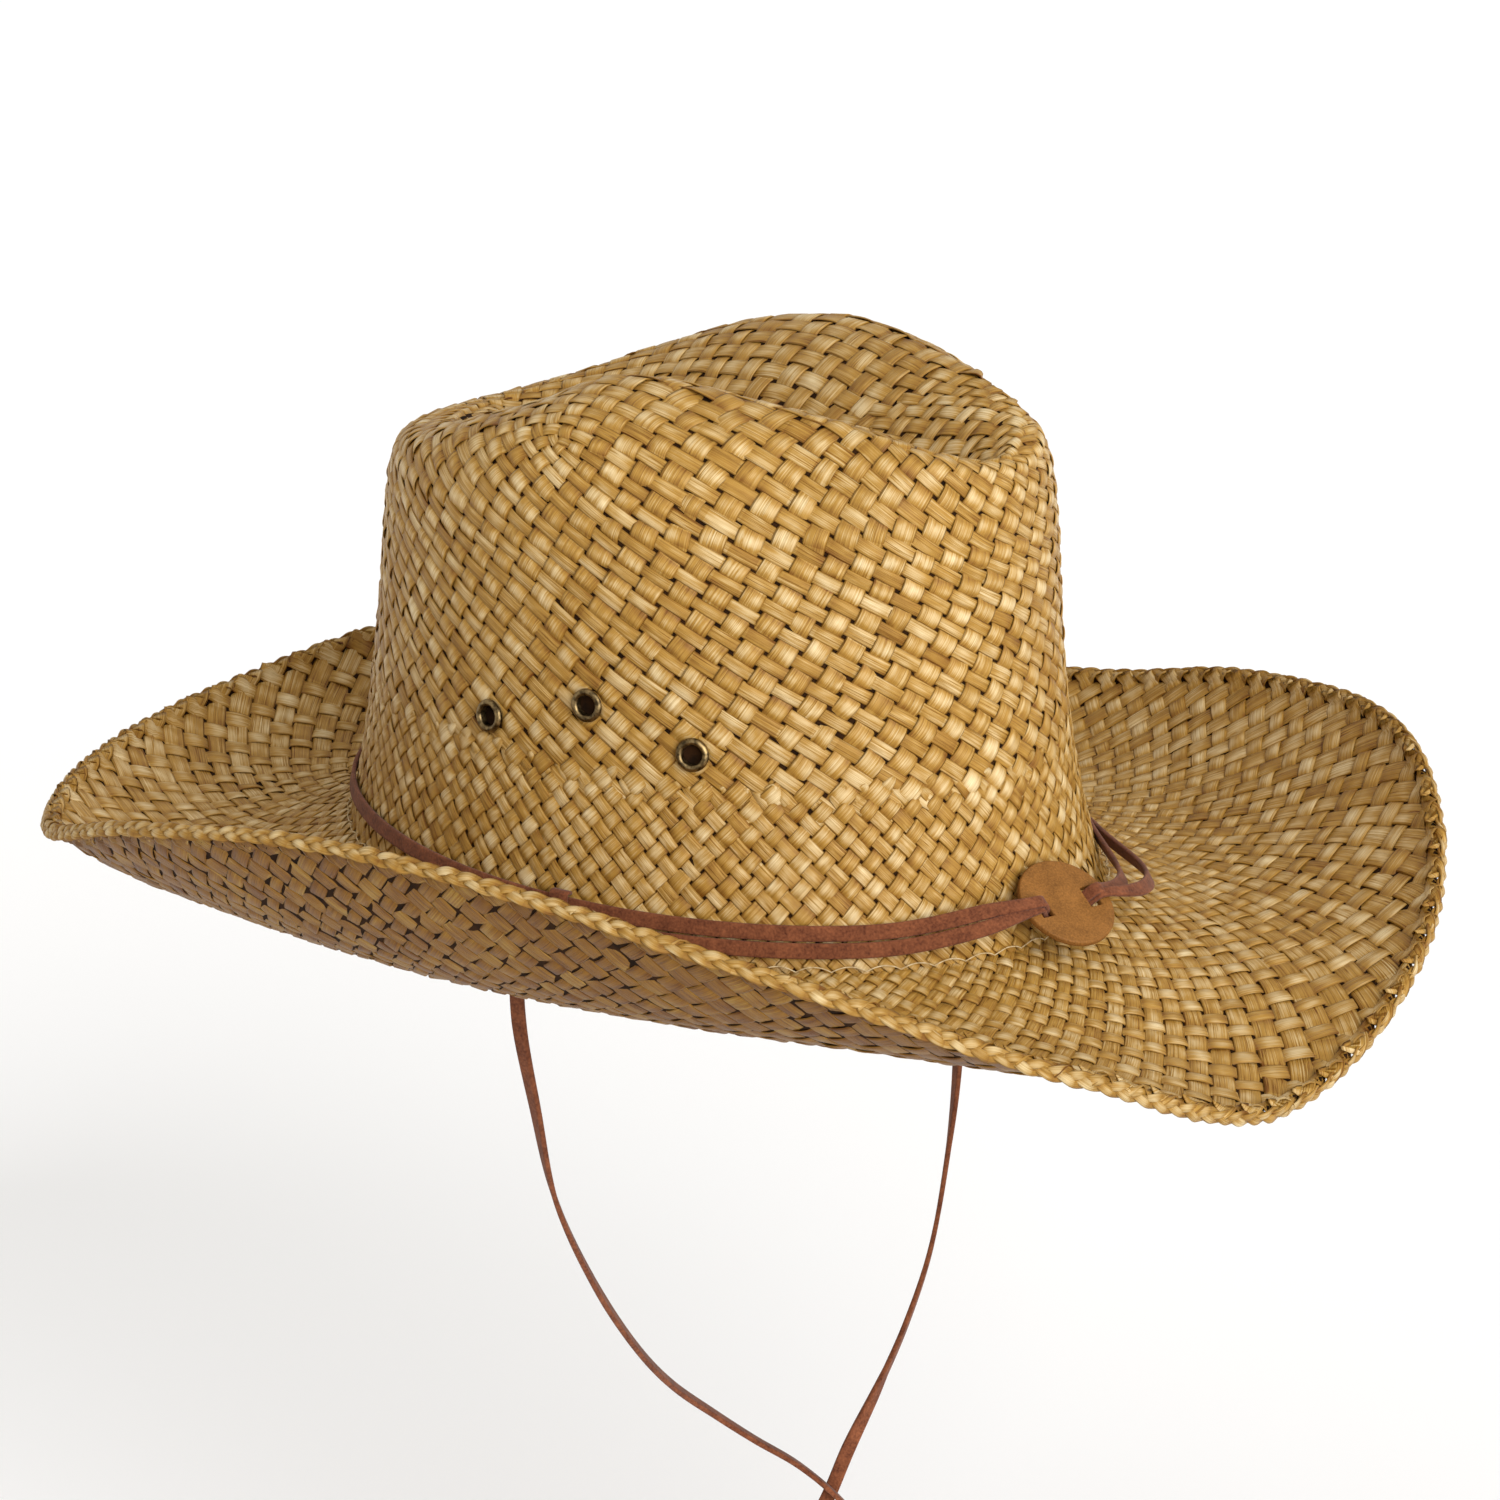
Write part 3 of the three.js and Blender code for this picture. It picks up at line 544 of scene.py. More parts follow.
class Sheet:
    """A smooth surface, by the way from 0 to 1 down or out over it and the turn from 0 to 1
    round it. Its own scale grows from row to row as the surface's rows spread, so that
    slanted strands drawn on it as on a flat disc keep their slant."""

    def __init__(self, rows):
        steps = np.linalg.norm(np.diff(rows, axis=0), axis=-1)
        ways = np.concatenate([np.zeros((1, rows.shape[1])), np.cumsum(steps, axis=0)])
        even = np.linspace(0, 1, SHEET_ROWS + 1)
        self.points = np.empty((SHEET_ROWS + 1, rows.shape[1], 3))
        for column in range(rows.shape[1]):
            share = ways[:, column] / ways[-1, column]
            for axis in range(3):
                self.points[:, column, axis] = np.interp(even, share, rows[:, column, axis])
        ring = self.points[:, :-1]
        around = np.roll(ring, -1, axis=1) - np.roll(ring, 1, axis=1)
        normals = np.cross(np.gradient(ring, axis=0), around)
        # Where a sheet closes in a point, its first row has no way round and takes the mean
        normals[0] += normals[1].mean(axis=0) * 1e-3
        normals = unit(normals)
        self.normals = np.concatenate([normals, normals[:, :1]], axis=1)
        self.way = ways[-1].mean()
        radius = np.linalg.norm(np.diff(self.points, axis=1), axis=-1).sum(axis=1) / (2 * math.pi)
        self.even = even
        closed = radius[0] < 1e-6
        radius[0] = max(radius[0], radius[1] * 1e-3)
        growth = self.way / SHEET_ROWS * 0.5 * (1 / radius[1:] + 1 / radius[:-1])
        # A sheet that closes in a point has an endless scale, cut off in its first row
        if closed:
            growth[0] = CLOSED_SCALE
        self.scale = np.concatenate([[0], np.cumsum(growth)])

    def at(self, down, turn):
        """Points and normals on the surface."""
        row = np.clip(down, 0, 1) * SHEET_ROWS
        column = (turn % 1) * SHEET_COLUMNS
        i = np.minimum(row.astype(int), SHEET_ROWS - 1)
        j = np.minimum(column.astype(int), SHEET_COLUMNS - 1)
        a = (row - i)[..., None]
        b = (column - j)[..., None]
        found = []
        for grid in (self.points, self.normals):
            upper = grid[i, j] * (1 - b) + grid[i, j + 1] * b
            lower = grid[i + 1, j] * (1 - b) + grid[i + 1, j + 1] * b
            found.append(upper * (1 - a) + lower * a)
        return found[0], unit(found[1])


angles = turn_angles[None, :]
crown_sheet = Sheet(np.concatenate([
    crease_point(angles, np.linspace(0, 1, CREASE_ROWS)[:, None]),
    shoulder_point(angles, np.linspace(1, 0, SHOULDER_ROWS)[1:, None, None]),
    wall_point(angles, np.linspace(SHOULDER_START, WALL_END, WALL_ROWS)[1:, None]),
]))


def wall_place(angle, height):
    """A point on the wall's outside, the way up the wall and the way out from it."""
    around = wall_point(angle + SMALL_TURN, height) - wall_point(angle - SMALL_TURN, height)
    up = unit(wall_point(angle, height + SMALL_RISE) - wall_point(angle, height - SMALL_RISE))
    return wall_point(angle, height), up, unit(np.cross(around, up))


def eyelet_place(row, sign):
    """The middle of an eyelet on the wall's outside, and the way out."""
    angle = np.array(sign * math.radians(row["turn"]))
    middle, _, out = wall_place(angle, CROWN_HEIGHT * row["height"])
    return middle, out


eyelet_barrel = EYELET_BORE / 2 + EYELET_WALL
eyelet_holes = []
for row in EYELETS:
    for sign in (1, -1):
        middle, out = eyelet_place(row, sign)
        eyelet_holes.append({
            "middle": middle - out * STRAW_DEPTH, "radius": eyelet_barrel + HOLE_CLEARANCE,
        })


def beside_holes(line, ahead, across, corners):
    """The corners of a strand's sections, squeezed to one side of each eyelet's hole."""
    for hole in eyelet_holes:
        away = np.linalg.norm(line - hole["middle"], axis=-1)
        if away.min() > 2 * hole["radius"]:
            continue
        along = ((line - hole["middle"]) * ahead).sum(axis=-1)
        place = ((corners - hole["middle"][None, None]) * across[:, None]).sum(axis=-1)
        nearest = np.argmin(away)
        side = 1.0 if place[nearest].mean() >= 0 else -1.0
        chord = np.sqrt(np.maximum(hole["radius"] ** 2 - along**2, 0))[:, None]
        reach = place * side
        low, high = reach.min(axis=1, keepdims=True), reach.max(axis=1, keepdims=True)
        new_low = np.maximum(low, chord)
        new_high = np.maximum(high, chord + LEAST_STRAND_WIDTH)
        moved = new_low + (reach - low) / (high - low) * (new_high - new_low)
        inside = (chord > 0) & (low < chord) & (away < 2 * hole["radius"])[:, None]
        shift = np.where(inside, moved - reach, 0) * side
        corners = corners + across[:, None] * shift[..., None]
    return corners


def woven(name, sheet, strands, seed, flat, raised):
    """One object from strands. Each strand is a dict: down and turn, its way over the sheet,
    count, the crossings along it, even where it goes over, spacing, the distance to the next
    strand alike, raised, from 0 for a flat strand to 1 for a bulging one, number, its own,
    loose, the crossings from a place to the strand's loose end, and sink, how far that end
    is out of the weave. flat and raised are the fill and the wave of the two kinds."""
    rng = np.random.default_rng(seed)
    points, uvs, faces, bulge, below = [], [], [], [], []
    start = 0
    for strand in strands:
        count = strand["count"]
        base, normal = sheet.at(strand["down"], strand["turn"])
        mix = strand["raised"]
        fill = flat[0] + (raised[0] - flat[0]) * mix
        wave = flat[1] + (raised[1] - flat[1]) * mix
        over = np.cos(math.pi * count)
        over = np.sign(over) * np.abs(over) ** 0.5
        wobble = rng.normal(0, 1, 8)
        drift = sum(
            wobble[k] * np.sin(count * (0.31 + 0.23 * k) + wobble[k + 4] * 3) for k in range(4)
        )
        end = np.clip(strand["loose"] / LOOSE_END_LENGTH, 0, 1)
        lift = wave * over - STRAW_DEPTH + strand["sink"] * (1 - end)
        ahead = unit(np.gradient(base, axis=0))
        across = unit(np.cross(normal, ahead))
        face = unit(normal + across * STRAND_LEAN * drift[:, None])
        across = unit(np.cross(face, ahead))
        narrow = LOOSE_END_WIDTH + (1 - LOOSE_END_WIDTH) * np.sqrt(end)
        filled = fill + rng.normal(0, WIDTH_SCATTER) + STRAND_DRIFT * drift
        width = strand["spacing"] * filled * narrow / 2
        aside = STRAND_DRIFT * drift * strand["spacing"]
        line = base + normal * lift[:, None] + across * aside[:, None]
        section = (
            line[:, None]
            + across[:, None] * STRAW_SECTION[None, :, :1] * width[:, None, None]
            + face[:, None] * STRAW_SECTION[None, :, 1:] * STRAW_HALF_THICKNESS
        )
        section = beside_holes(line, ahead, across, section)
        points.append(section.reshape(-1, 3))
        uv = np.stack(np.broadcast_arrays(
            strand["number"] + STRAW_ACROSS[None, :], count[:, None]
        ), axis=-1)
        uvs.append(uv.reshape(-1, 2))
        bulge.append(np.repeat(mix, len(STRAW_SECTION)))
        below.append(np.tile(STRAW_UNDERSIDE_SHADE, len(count)))
        faces.append(tube_faces(len(count), len(STRAW_SECTION)) + start)
        start += section.shape[0] * section.shape[1]
    return mesh_object(
        name, np.concatenate(points), np.concatenate(faces), np.concatenate(uvs),
        raised=np.concatenate(bulge), under=np.concatenate(below),
    )


def along_nodes(nodes, places):
    """Places on a smooth line through complex nodes, by the number of the node."""
    i = np.clip(np.floor(places).astype(int), 0, len(nodes) - 2)
    t = places - i
    before = nodes[np.maximum(i - 1, 0)]
    after = nodes[np.minimum(i + 2, len(nodes) - 1)]
    a, b = nodes[i], nodes[i + 1]
    return cubic(t, a, b, (b - before) / 2, (after - a) / 2)


def lattice_strands(last_level):
    """The crossings of each strand of the crown, by name: a pair in the lattice, and below it
    a level and twice the place round, in strands."""
    half = LATTICE_HALF
    strands = []
    for family in ("x", "y"):
        for j in range(-half, half):
            side = j + 0.5
            inside = int(half - abs(side) + 0.5)
            lattice = [(i, j) if family == "x" else (j, i) for i in range(-inside, inside)]

            def outer(level, forward):
                way = side - math.copysign((level - half) / 2, side)
                if family == "x":
                    place = way if forward else 2 * half - way
                else:
                    place = half - way if forward else -half + way
                return ("ring", level, int(round(2 * place)) % (2 * CROWN_STRANDS))

            levels = range(half + 1, last_level + 1)
            names = (
                [outer(level, False) for level in reversed(levels)]
                + [("lattice", *pair) for pair in lattice]
                + [outer(level, True) for level in levels]
            )
            # The first lattice crossing tells which crossings go over
            i, k = lattice[0]
            over_first = (i + k) % 2 == (0 if family == "x" else 1)
            shift = (0 if over_first else 1) - len(levels)
            # One end of a strand leans to the left and the other to the right
            steps = np.arange(len(names)) - len(levels)
            other_end = np.clip(steps / max(len(lattice) - 1, 1), 0, 1)
            leans_left = (family == "x") == (side > 0)
            raised = other_end if leans_left else 1 - other_end
            strands.append({"names": names, "shift": shift, "raised": raised})
    return strands


def relaxed_places(strands, growth):
    """A place on a flat disc for every crossing: rows of the lattice that join slanted rings
    smoothly, each crossing in the middle of its four neighbours."""
    half = LATTICE_HALF
    fixed = half + RELAXED_LEVELS
    place = {}
    for strand in strands:
        for name in strand["names"]:
            if name[0] == "lattice":
                flat = complex(name[1] + 0.5, name[2] + 0.5) / half
                level = abs(flat.real) + abs(flat.imag)
                quarter = abs(flat.imag) / level * math.pi / 2
                ring = complex(
                    math.copysign(level * math.cos(quarter), flat.real),
                    math.copysign(level * math.sin(quarter), flat.imag),
                )
                place[name] = ring * level**2 + flat * LATTICE_SPREAD * (1 - level**2)
            else:
                radius = math.exp((name[1] - half) * growth)
                place[name] = radius * np.exp(1j * math.pi * name[2] / CROWN_STRANDS)
    names = list(place)
    index = {name: k for k, name in enumerate(names)}
    near = [[] for _ in names]
    for strand in strands:
        for a, b in zip(strand["names"], strand["names"][1:]):
            near[index[a]].append(index[b])
            near[index[b]].append(index[a])
    free = np.array([
        k for k, name in enumerate(names) if name[0] == "lattice" or name[1] < fixed
    ])
    around = np.array([near[k] for k in free])
    spots = np.array([place[name] for name in names])
    for _ in range(SMOOTHING_ROUNDS):
        spots[free] = spots[around].mean(axis=1)
    return {name: spots[k] for name, k in index.items()}


crown_twist = smooth_table(CROWN_TWIST, "down", "turn")


def place_on(sheet, spots, level_scale):
    """Ways down and turns on the crown's sheet, from places on the flat disc."""
    scale = np.log(np.maximum(np.abs(spots), 1e-6)) + level_scale
    down = np.interp(scale, sheet.scale, sheet.even)
    return down, np.angle(spots) / (2 * math.pi) + crown_twist(down) / 360


ring_growth = math.pi / CROWN_STRANDS / ROW_CLOSENESS
crown_strands = lattice_strands(JOIN_LEVEL + 2)
crown_places = relaxed_places(crown_strands, ring_growth)
wall_way = 1 - JOIN_HEIGHT / crown_sheet.way
join_scale = np.interp(wall_way, crown_sheet.even, crown_sheet.scale)
level_scale = join_scale - (JOIN_LEVEL - LATTICE_HALF) * ring_growth

# Where each crossing lies on the crown, and the strands that meet there
crossing_points = {
    name: crown_sheet.at(*place_on(crown_sheet, np.array([spot]), level_scale))[0][0]
    for name, spot in crown_places.items()
}
meetings = {}
for strand in crown_strands:
    for k, name in enumerate(strand["names"]):
        meetings.setdefault(name, []).append((strand, k))


def crossing_spacings(strand):
    """At each crossing of a strand, the distance to the next strands alike."""
    names = strand["names"]
    ahead = unit(np.gradient(np.array([crossing_points[name] for name in names]), axis=0))
    spacings = []
    for name, along in zip(names, ahead):
        across = [0.0, 0.0, 0.0]
        for other, k in meetings[name]:
            if other is not strand:
                near = [crossing_points[n] for n in other["names"][max(k - 1, 0) : k + 2]]
                across = (near[-1] - near[0]) / (len(near) - 1)
        spacings.append(np.linalg.norm(np.cross(across, along)))
    return np.array(spacings)


rng = np.random.default_rng(11)
upper = []
for number, strand in enumerate(crown_strands):
    nodes = np.array([crown_places[name] for name in strand["names"]])
    first = CROWN_END - rng.uniform(*CROWN_END_SCATTER)
    last = len(nodes) - 1 - CROWN_END + rng.uniform(*CROWN_END_SCATTER)
    places = np.linspace(first, last, int((last - first) * STEPS_PER_CROSSING) + 1)
    down, turn = place_on(crown_sheet, along_nodes(nodes, places), level_scale)
    upper.append({
        "down": down, "turn": turn, "count": places + strand["shift"], "number": number,
        "spacing": np.interp(places, np.arange(len(nodes)), crossing_spacings(strand)),
        "raised": np.interp(places, np.arange(len(nodes)), strand["raised"]),
        "loose": np.minimum(places - first, last - places), "sink": -LOOSE_END_SINK,
    })

flat, raised = (FLAT_FILL, FLAT_WAVE), (RAISED_FILL, RAISED_WAVE)
crown_upper = [
    woven("crown_straw_lengthwise", crown_sheet, upper[: CROWN_STRANDS // 2], 1, flat, raised),
    woven("crown_straw_crosswise", crown_sheet, upper[CROWN_STRANDS // 2 :], 2, flat, raised),
]


def slanted_strands(sheet, number, first_scale, last_scale, rng, early, raised_lean):
    """Strands that lean one way and the other, between two rows of the sheet, given by their
    scale. Each starts some crossings early, at random between the two of early. Ends that
    start within a tenth of a crossing of each other are sewn in and not loose."""
    growth = math.pi / number
    levels = int(round((last_scale - first_scale) / growth))
    growth = (last_scale - first_scale) / levels
    made = []
    for lean in (1, -1):
        for k in range(number):
            first = -rng.uniform(*early)
            last = levels
            count = np.linspace(first, last, int((last - first) * STEPS_PER_CROSSING) + 1)
            down = np.interp(first_scale + count * growth, sheet.scale, sheet.even)
            turn = (k + lean * count / 2) / number
            points = sheet.at(down, turn)[0]
            across = sheet.at(down, turn + 1 / number)[0] - points
            ahead = unit(np.gradient(points, axis=0))
            made.append({
                "down": down, "turn": turn, "count": count + (lean < 0), "number": len(made),
                "spacing": np.linalg.norm(np.cross(across, ahead), axis=-1),
                "raised": np.full(len(count), float(lean == raised_lean)),
                "loose": count - first if early[1] > 0.1 else np.full(len(count), np.inf),
                "sink": 0.0,
            })
    return made


foot_first = join_scale - FOOT_START * math.pi / FOOT_STRANDS
foot = slanted_strands(
    crown_sheet, FOOT_STRANDS, foot_first, crown_sheet.scale[-1], rng, FOOT_START_SCATTER, -1
)
crown_foot = [
    woven("crown_foot_straw_flat", crown_sheet, foot[:FOOT_STRANDS], 3, flat, raised),
    woven("crown_foot_straw_raised", crown_sheet, foot[FOOT_STRANDS:], 6, flat, raised),
]


def straw_material(name, dark, middle, pale):
    """Dried straw: long fibres, a tone for each strand and each crossing, and a painted highlight
    where a strand goes over its neighbours, most where it bulges, so that the crossings tucked
    under read as painted shade."""
    material, nodes = new_material(name, {"Specular IOR Level": 0.22})
    uv = nodes.node("UVMap", {"uv_map": "UVMap"}, {})
    bulging = nodes.node("Attribute", {"attribute_name": "raised"}, {}, "Fac")
    u = nodes.node("SeparateXYZ", {}, {"Vector": uv}, "X")
    v = nodes.node("SeparateXYZ", {}, {"Vector": uv}, "Y")
    strand = nodes.math("FLOOR", u)
    across = u - strand
    cell = nodes.math("ROUND", v)

    def streaks(across_scale, along_scale, strand_step, detail):
        """Noise drawn out along the strand, and other noise in the next strand."""
        return nodes.noise(nodes.node("CombineXYZ", {}, {
            "X": across * across_scale + strand * strand_step[0],
            "Y": v * along_scale,
            "Z": strand * strand_step[1],
        }), 1.0, detail)

    fibre = streaks(26.0, 0.15, (37.3, 5.1), 3)
    split = streaks(9.0, 0.12, (11.7, 3.3), 1)
    # Dark lines where a broad strand has split along its fibres
    line = 1 - nodes.node(
        "MapRange", {"interpolation_type": "SMOOTHSTEP"},
        {"Value": nodes.math("ABSOLUTE", split - 0.5), "From Min": 0.0, "From Max": 0.03},
    )
    blotch = streaks(1.6, 0.8, (17.7, 1.9), 2)
    strand_tone = nodes.node("TexWhiteNoise", {"noise_dimensions": "1D"}, {"W": strand})
    cell_tone = nodes.node(
        "TexWhiteNoise",
        {"noise_dimensions": "2D"},
        {"Vector": nodes.node("CombineXYZ", {}, {"X": strand, "Y": cell})},
    )
    # Painted light: the crest is a painted highlight on each crossing where the strand goes over,
    # stronger on the bulging strands, which leaves the crossings tucked under darker as painted
    # shade
    crest_highlight = nodes.math("MAXIMUM", nodes.math("COSINE", v * math.pi), 0.0)
    from_middle = across * 2.0 - 1.0
    edge = nodes.math("POWER", nodes.math("ABSOLUTE", from_middle), 4.0)
    tone = (
        0.37 + (fibre - 0.5) * 0.58 + (blotch - 0.5) * 0.56
        + (strand_tone - 0.5) * 0.12 + (cell_tone - 0.5) * 0.15
        + crest_highlight * (0.08 + bulging * 0.12) - line * (0.24 - bulging * 0.14)
        - bulging * 0.05 - edge * 0.10
    )
    # Painted shade: the corners on the underside are multiplied by a darker, browner tint
    under = nodes.node("Attribute", {"attribute_name": "under"}, {}, "Fac")
    tinted = nodes.node(
        "Mix", {"data_type": "RGBA", "blend_type": "MULTIPLY"},
        {0: under, 6: tone.ramp((0.05, dark), (0.40, middle), (0.84, pale)), 7: UNDERSIDE_SHADE_TINT},
        2,
    )
    connect(
        material,
        Base_Color=tinted,
        Normal=(fibre * 0.6 - line * 0.5).bump(0.6, 0.0004),
        Roughness=0.34 + fibre * 0.2,
    )
    return material


straw = straw_material("straw", (110, 64, 10), (168, 128, 57), (232, 214, 172))

# Painted shade: the gaps between the strands and the eyelets' bores show only a brown dark, with no
# light through them, so a dark film as thin as a hair lies just under the middle of the weave,
# where it hides no strand from either side.
straw_shade, nodes = new_material("straw_shade", {"Roughness": 0.95, "Specular IOR Level": 0.1})
place = nodes.node("TexCoord", {}, {}, "Object")
connect(
    straw_shade, Base_Color=nodes.noise(place, 300, 2).ramp((0.3, (24, 13, 5)), (0.7, (50, 29, 11)))
)


def shade_film(name, sheet, first_row):
    """A closed film in a sheet's weave, from a share of the way down it to its end."""
    rows = np.linspace(first_row, 1, SHADE_ROWS + 1)[:, None]
    turns = np.linspace(0, 1, SHADE_COLUMNS + 1)[None, :-1]
    base, normal = sheet.at(*np.broadcast_arrays(rows, turns))
    outer = base - normal * (SHADE_DEPTH - SHADE_THICKNESS / 2)
    inner = base - normal * (SHADE_DEPTH + SHADE_THICKNESS / 2)
    # Round each section: out over the top side and back under it
    section = np.concatenate([outer, inner[::-1]]).transpose(1, 0, 2)
    return mesh_object(
        name, section.reshape(-1, 3), tube_faces(SHADE_COLUMNS, 2 * SHADE_ROWS + 2, True)
    )


crown_shade = shade_film("crown_shade", crown_sheet, SHADE_START)
crown_shade.data.materials.append(straw_shade)
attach(crown_shade, "root")
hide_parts("crown")
for piece in crown_upper + crown_foot:
    piece.data.materials.append(straw)
    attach(piece, "root")
    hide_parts("crown")


# Brim
# A second woven sheet, sewn to the crown's foot and pressed up at both sides. More strands
# than in the crown fan out to its edge, so the crossings there are the largest of all. The
# strands' ends are folded over along the edge.

BRIM_REACH = 0.078
BRIM_LIFT = 0.034
BRIM_SAG = 0.026
BRIM_BEND_SHARE = 0.55
EDGE_BRAID = 0.0045
PIECE_GAP = 0.0003
BRIM_ROWS = 160
BRIM_STRANDS = 120
BRIM_START_SCATTER = (0, 0.01)
BRIM_FLAT_FILL = 1.00
BRIM_RAISED_FILL = 0.80
# Where the strands turn over behind the plait: out past the flat sheet and up from it
EDGE_FOLD = [
    (0.0004, 0.00035), (0.0010, 0.00085), (0.0017, 0.00115), (0.0024, 0.00120),
    (0.0030, 0.00095), (0.0034, 0.00050), (0.0036, 0.00000),
]
# The brim round the head, by degrees from the front towards the wearer's left, as shares of
# the sizes above
BRIM = [
    {"turn": 0, "reach": 0.99, "lift": -0.62, "sag": -0.62},
    {"turn": 22.5, "reach": 1.09, "lift": 0.06, "sag": -0.58},
    {"turn": 45, "reach": 1.07, "lift": 0.76, "sag": -0.62},
    {"turn": 67.5, "reach": 0.95, "lift": 0.65, "sag": -0.73},
    {"turn": 90, "reach": 0.89, "lift": 0.22, "sag": -0.90},
    {"turn": 112.5, "reach": 0.94, "lift": 0.07, "sag": -1.00},
    {"turn": 135, "reach": 0.99, "lift": 0.11, "sag": -1.00},
    {"turn": 157.5, "reach": 1.00, "lift": 0.18, "sag": -1.00},
    {"turn": 180, "reach": 1.00, "lift": -0.06, "sag": -1.02},
    {"turn": 202.5, "reach": 1.01, "lift": -0.13, "sag": -1.03},
    {"turn": 225, "reach": 1.02, "lift": -0.01, "sag": -1.00},
    {"turn": 247.5, "reach": 0.94, "lift": 0.58, "sag": -0.93},
    {"turn": 270, "reach": 0.86, "lift": 0.96, "sag": -0.90},
    {"turn": 292.5, "reach": 0.89, "lift": 0.99, "sag": -0.76},
    {"turn": 315, "reach": 0.99, "lift": 0.68, "sag": -0.64},
    {"turn": 337.5, "reach": 1.00, "lift": 0.00, "sag": -0.62},
]
brim_reach = smooth_table(BRIM, "turn", "reach", 360)
brim_lift = smooth_table(BRIM, "turn", "lift", 360)
brim_sag = smooth_table(BRIM, "turn", "sag", 360)


def brim_point(angle, share, shorten=0.0):
    """From just inside the head line, at share 0, to the edge, at share 1, or short of it."""
    turn = np.degrees(angle) % 360
    out = unit(np.stack(np.broadcast_arrays(
        HEAD_WIDTH * np.cos(angle), HEAD_LENGTH * np.sin(angle), 0.0
    ), axis=-1))
    start = wall_point(angle, 0.0) - out * SHEET_THICKNESS
    reach = (BRIM_REACH * brim_reach(turn) - shorten)[..., None]
    bend = start + out * reach * BRIM_BEND_SHARE
    bend[..., 2] = BRIM_SAG * brim_sag(turn)
    edge = start + out * reach
    edge[..., 2] = BRIM_LIFT * brim_lift(turn)
    return start * (1 - share) ** 2 + bend * 2 * share * (1 - share) + edge * share**2


def edge_frame(angle):
    """The end of the brim's sheet, the way out past it and the way up from its face."""
    shorten = EDGE_BRAID + PIECE_GAP
    end = brim_point(angle, 1.0, shorten)
    out = unit(end - brim_point(angle, 0.9, shorten))
    ahead = unit(brim_point(angle + SMALL_TURN, 1.0) - brim_point(angle - SMALL_TURN, 1.0))
    return end, out, unit(np.cross(out, ahead))


edge_end, edge_out, edge_up = edge_frame(angles)
fold_out, fold_up = np.array(EDGE_FOLD).T[:, :, None, None]
brim_sheet = Sheet(np.concatenate([
    brim_point(angles, np.linspace(0, 1, BRIM_ROWS)[:, None, None], EDGE_BRAID + PIECE_GAP),
    edge_end + edge_out * fold_out + edge_up * fold_up,
]))
brim_strands = slanted_strands(
    brim_sheet, BRIM_STRANDS, 0.0, brim_sheet.scale[-1], np.random.default_rng(5),
    BRIM_START_SCATTER, 1,
)
brim_flat, brim_raised = (BRIM_FLAT_FILL, FLAT_WAVE), (BRIM_RAISED_FILL, RAISED_WAVE)
brim = [
    woven("brim_straw_raised", brim_sheet, brim_strands[:BRIM_STRANDS], 4, brim_flat, brim_raised),
    woven("brim_straw_flat", brim_sheet, brim_strands[BRIM_STRANDS:], 5, brim_flat, brim_raised),
]
for piece in brim:
    piece.data.materials.append(straw)
    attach(piece, "root")
    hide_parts("brim")


# The brim is sewn to the crown's foot with a pale thread that zigzags over the join
SEAM_STITCH = 0.0042
SEAM_RISE = 0.0008
SEAM_REACH = 0.0024
SEAM_LIFT = 0.0004
THREAD_RADIUS = 0.00015
THREAD_SIDES = 6
THREAD_STEPS_PER_STITCH = 6


def ring_ahead(line):
    """The way ahead at each point of a closed line."""
    return unit(np.roll(line, -1, axis=0) - np.roll(line, 1, axis=0))


seam_steps = 2 * int(round(head_round / SEAM_STITCH / 2)) * THREAD_STEPS_PER_STITCH
seam_places = np.arange(seam_steps)
seam_turns = seam_places / seam_steps
zigzag = np.abs((seam_places / THREAD_STEPS_PER_STITCH) % 2 - 1)[:, None]
on_wall, wall_out = crown_sheet.at(
    np.full(seam_steps, 1 - SEAM_RISE / crown_sheet.way), seam_turns
)
on_brim, brim_up = brim_sheet.at(np.full(seam_steps, SEAM_REACH / brim_sheet.way), seam_turns)
seam_line = (
    on_wall * (1 - zigzag) + on_brim * zigzag
    + (wall_out + brim_up) * (THREAD_RADIUS + SEAM_LIFT * np.sin(zigzag * math.pi))
)
seam_ahead = ring_ahead(seam_line)
seam_normal = unit(wall_out + brim_up)
lean = (seam_normal * seam_ahead).sum(axis=1, keepdims=True)
seam_normal = unit(seam_normal - seam_ahead * lean)
seam_across = np.cross(seam_normal, seam_ahead)
thread_turns = np.linspace(0, 2 * math.pi, THREAD_SIDES, endpoint=False)
seam_points = seam_line[:, None] + THREAD_RADIUS * (
    np.cos(thread_turns)[None, :, None] * seam_across[:, None]
    + np.sin(thread_turns)[None, :, None] * seam_normal[:, None]
)
seam = mesh_object(
    "head_line_stitches", seam_points.reshape(-1, 3), tube_faces(len(seam_line), THREAD_SIDES, True)
)
thread, nodes = new_material("thread", {"Roughness": 0.8})
place = nodes.node("TexCoord", {}, {}, "Object")
connect(
    thread,
    Base_Color=nodes.noise(place, 900, 2).ramp((0.3, (168, 140, 92)), (0.7, (212, 194, 156))),
)
seam.data.materials.append(thread)
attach(seam, "root")

brim_shade = shade_film("brim_shade", brim_sheet, 0.0)
brim_shade.data.materials.append(straw_shade)
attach(brim_shade, "root")
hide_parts("brim")


# Edge braid
# The ends of the brim's strands are folded over and held down by a narrow plait of three
# straws, which is sewn along the outside of the edge and looks like a chain of leaves.

PLAIT_OUT = 0.0034
PLAIT_DOWN = 0.0014
PLAIT_FACE = math.radians(-10)
PLAIT_PITCH = 0.0170
PLAIT_STRANDS = 3
PLAIT_STEPS_PER_PITCH = 24
PLAIT_SWING = 0.00105
PLAIT_RISE = 0.00050
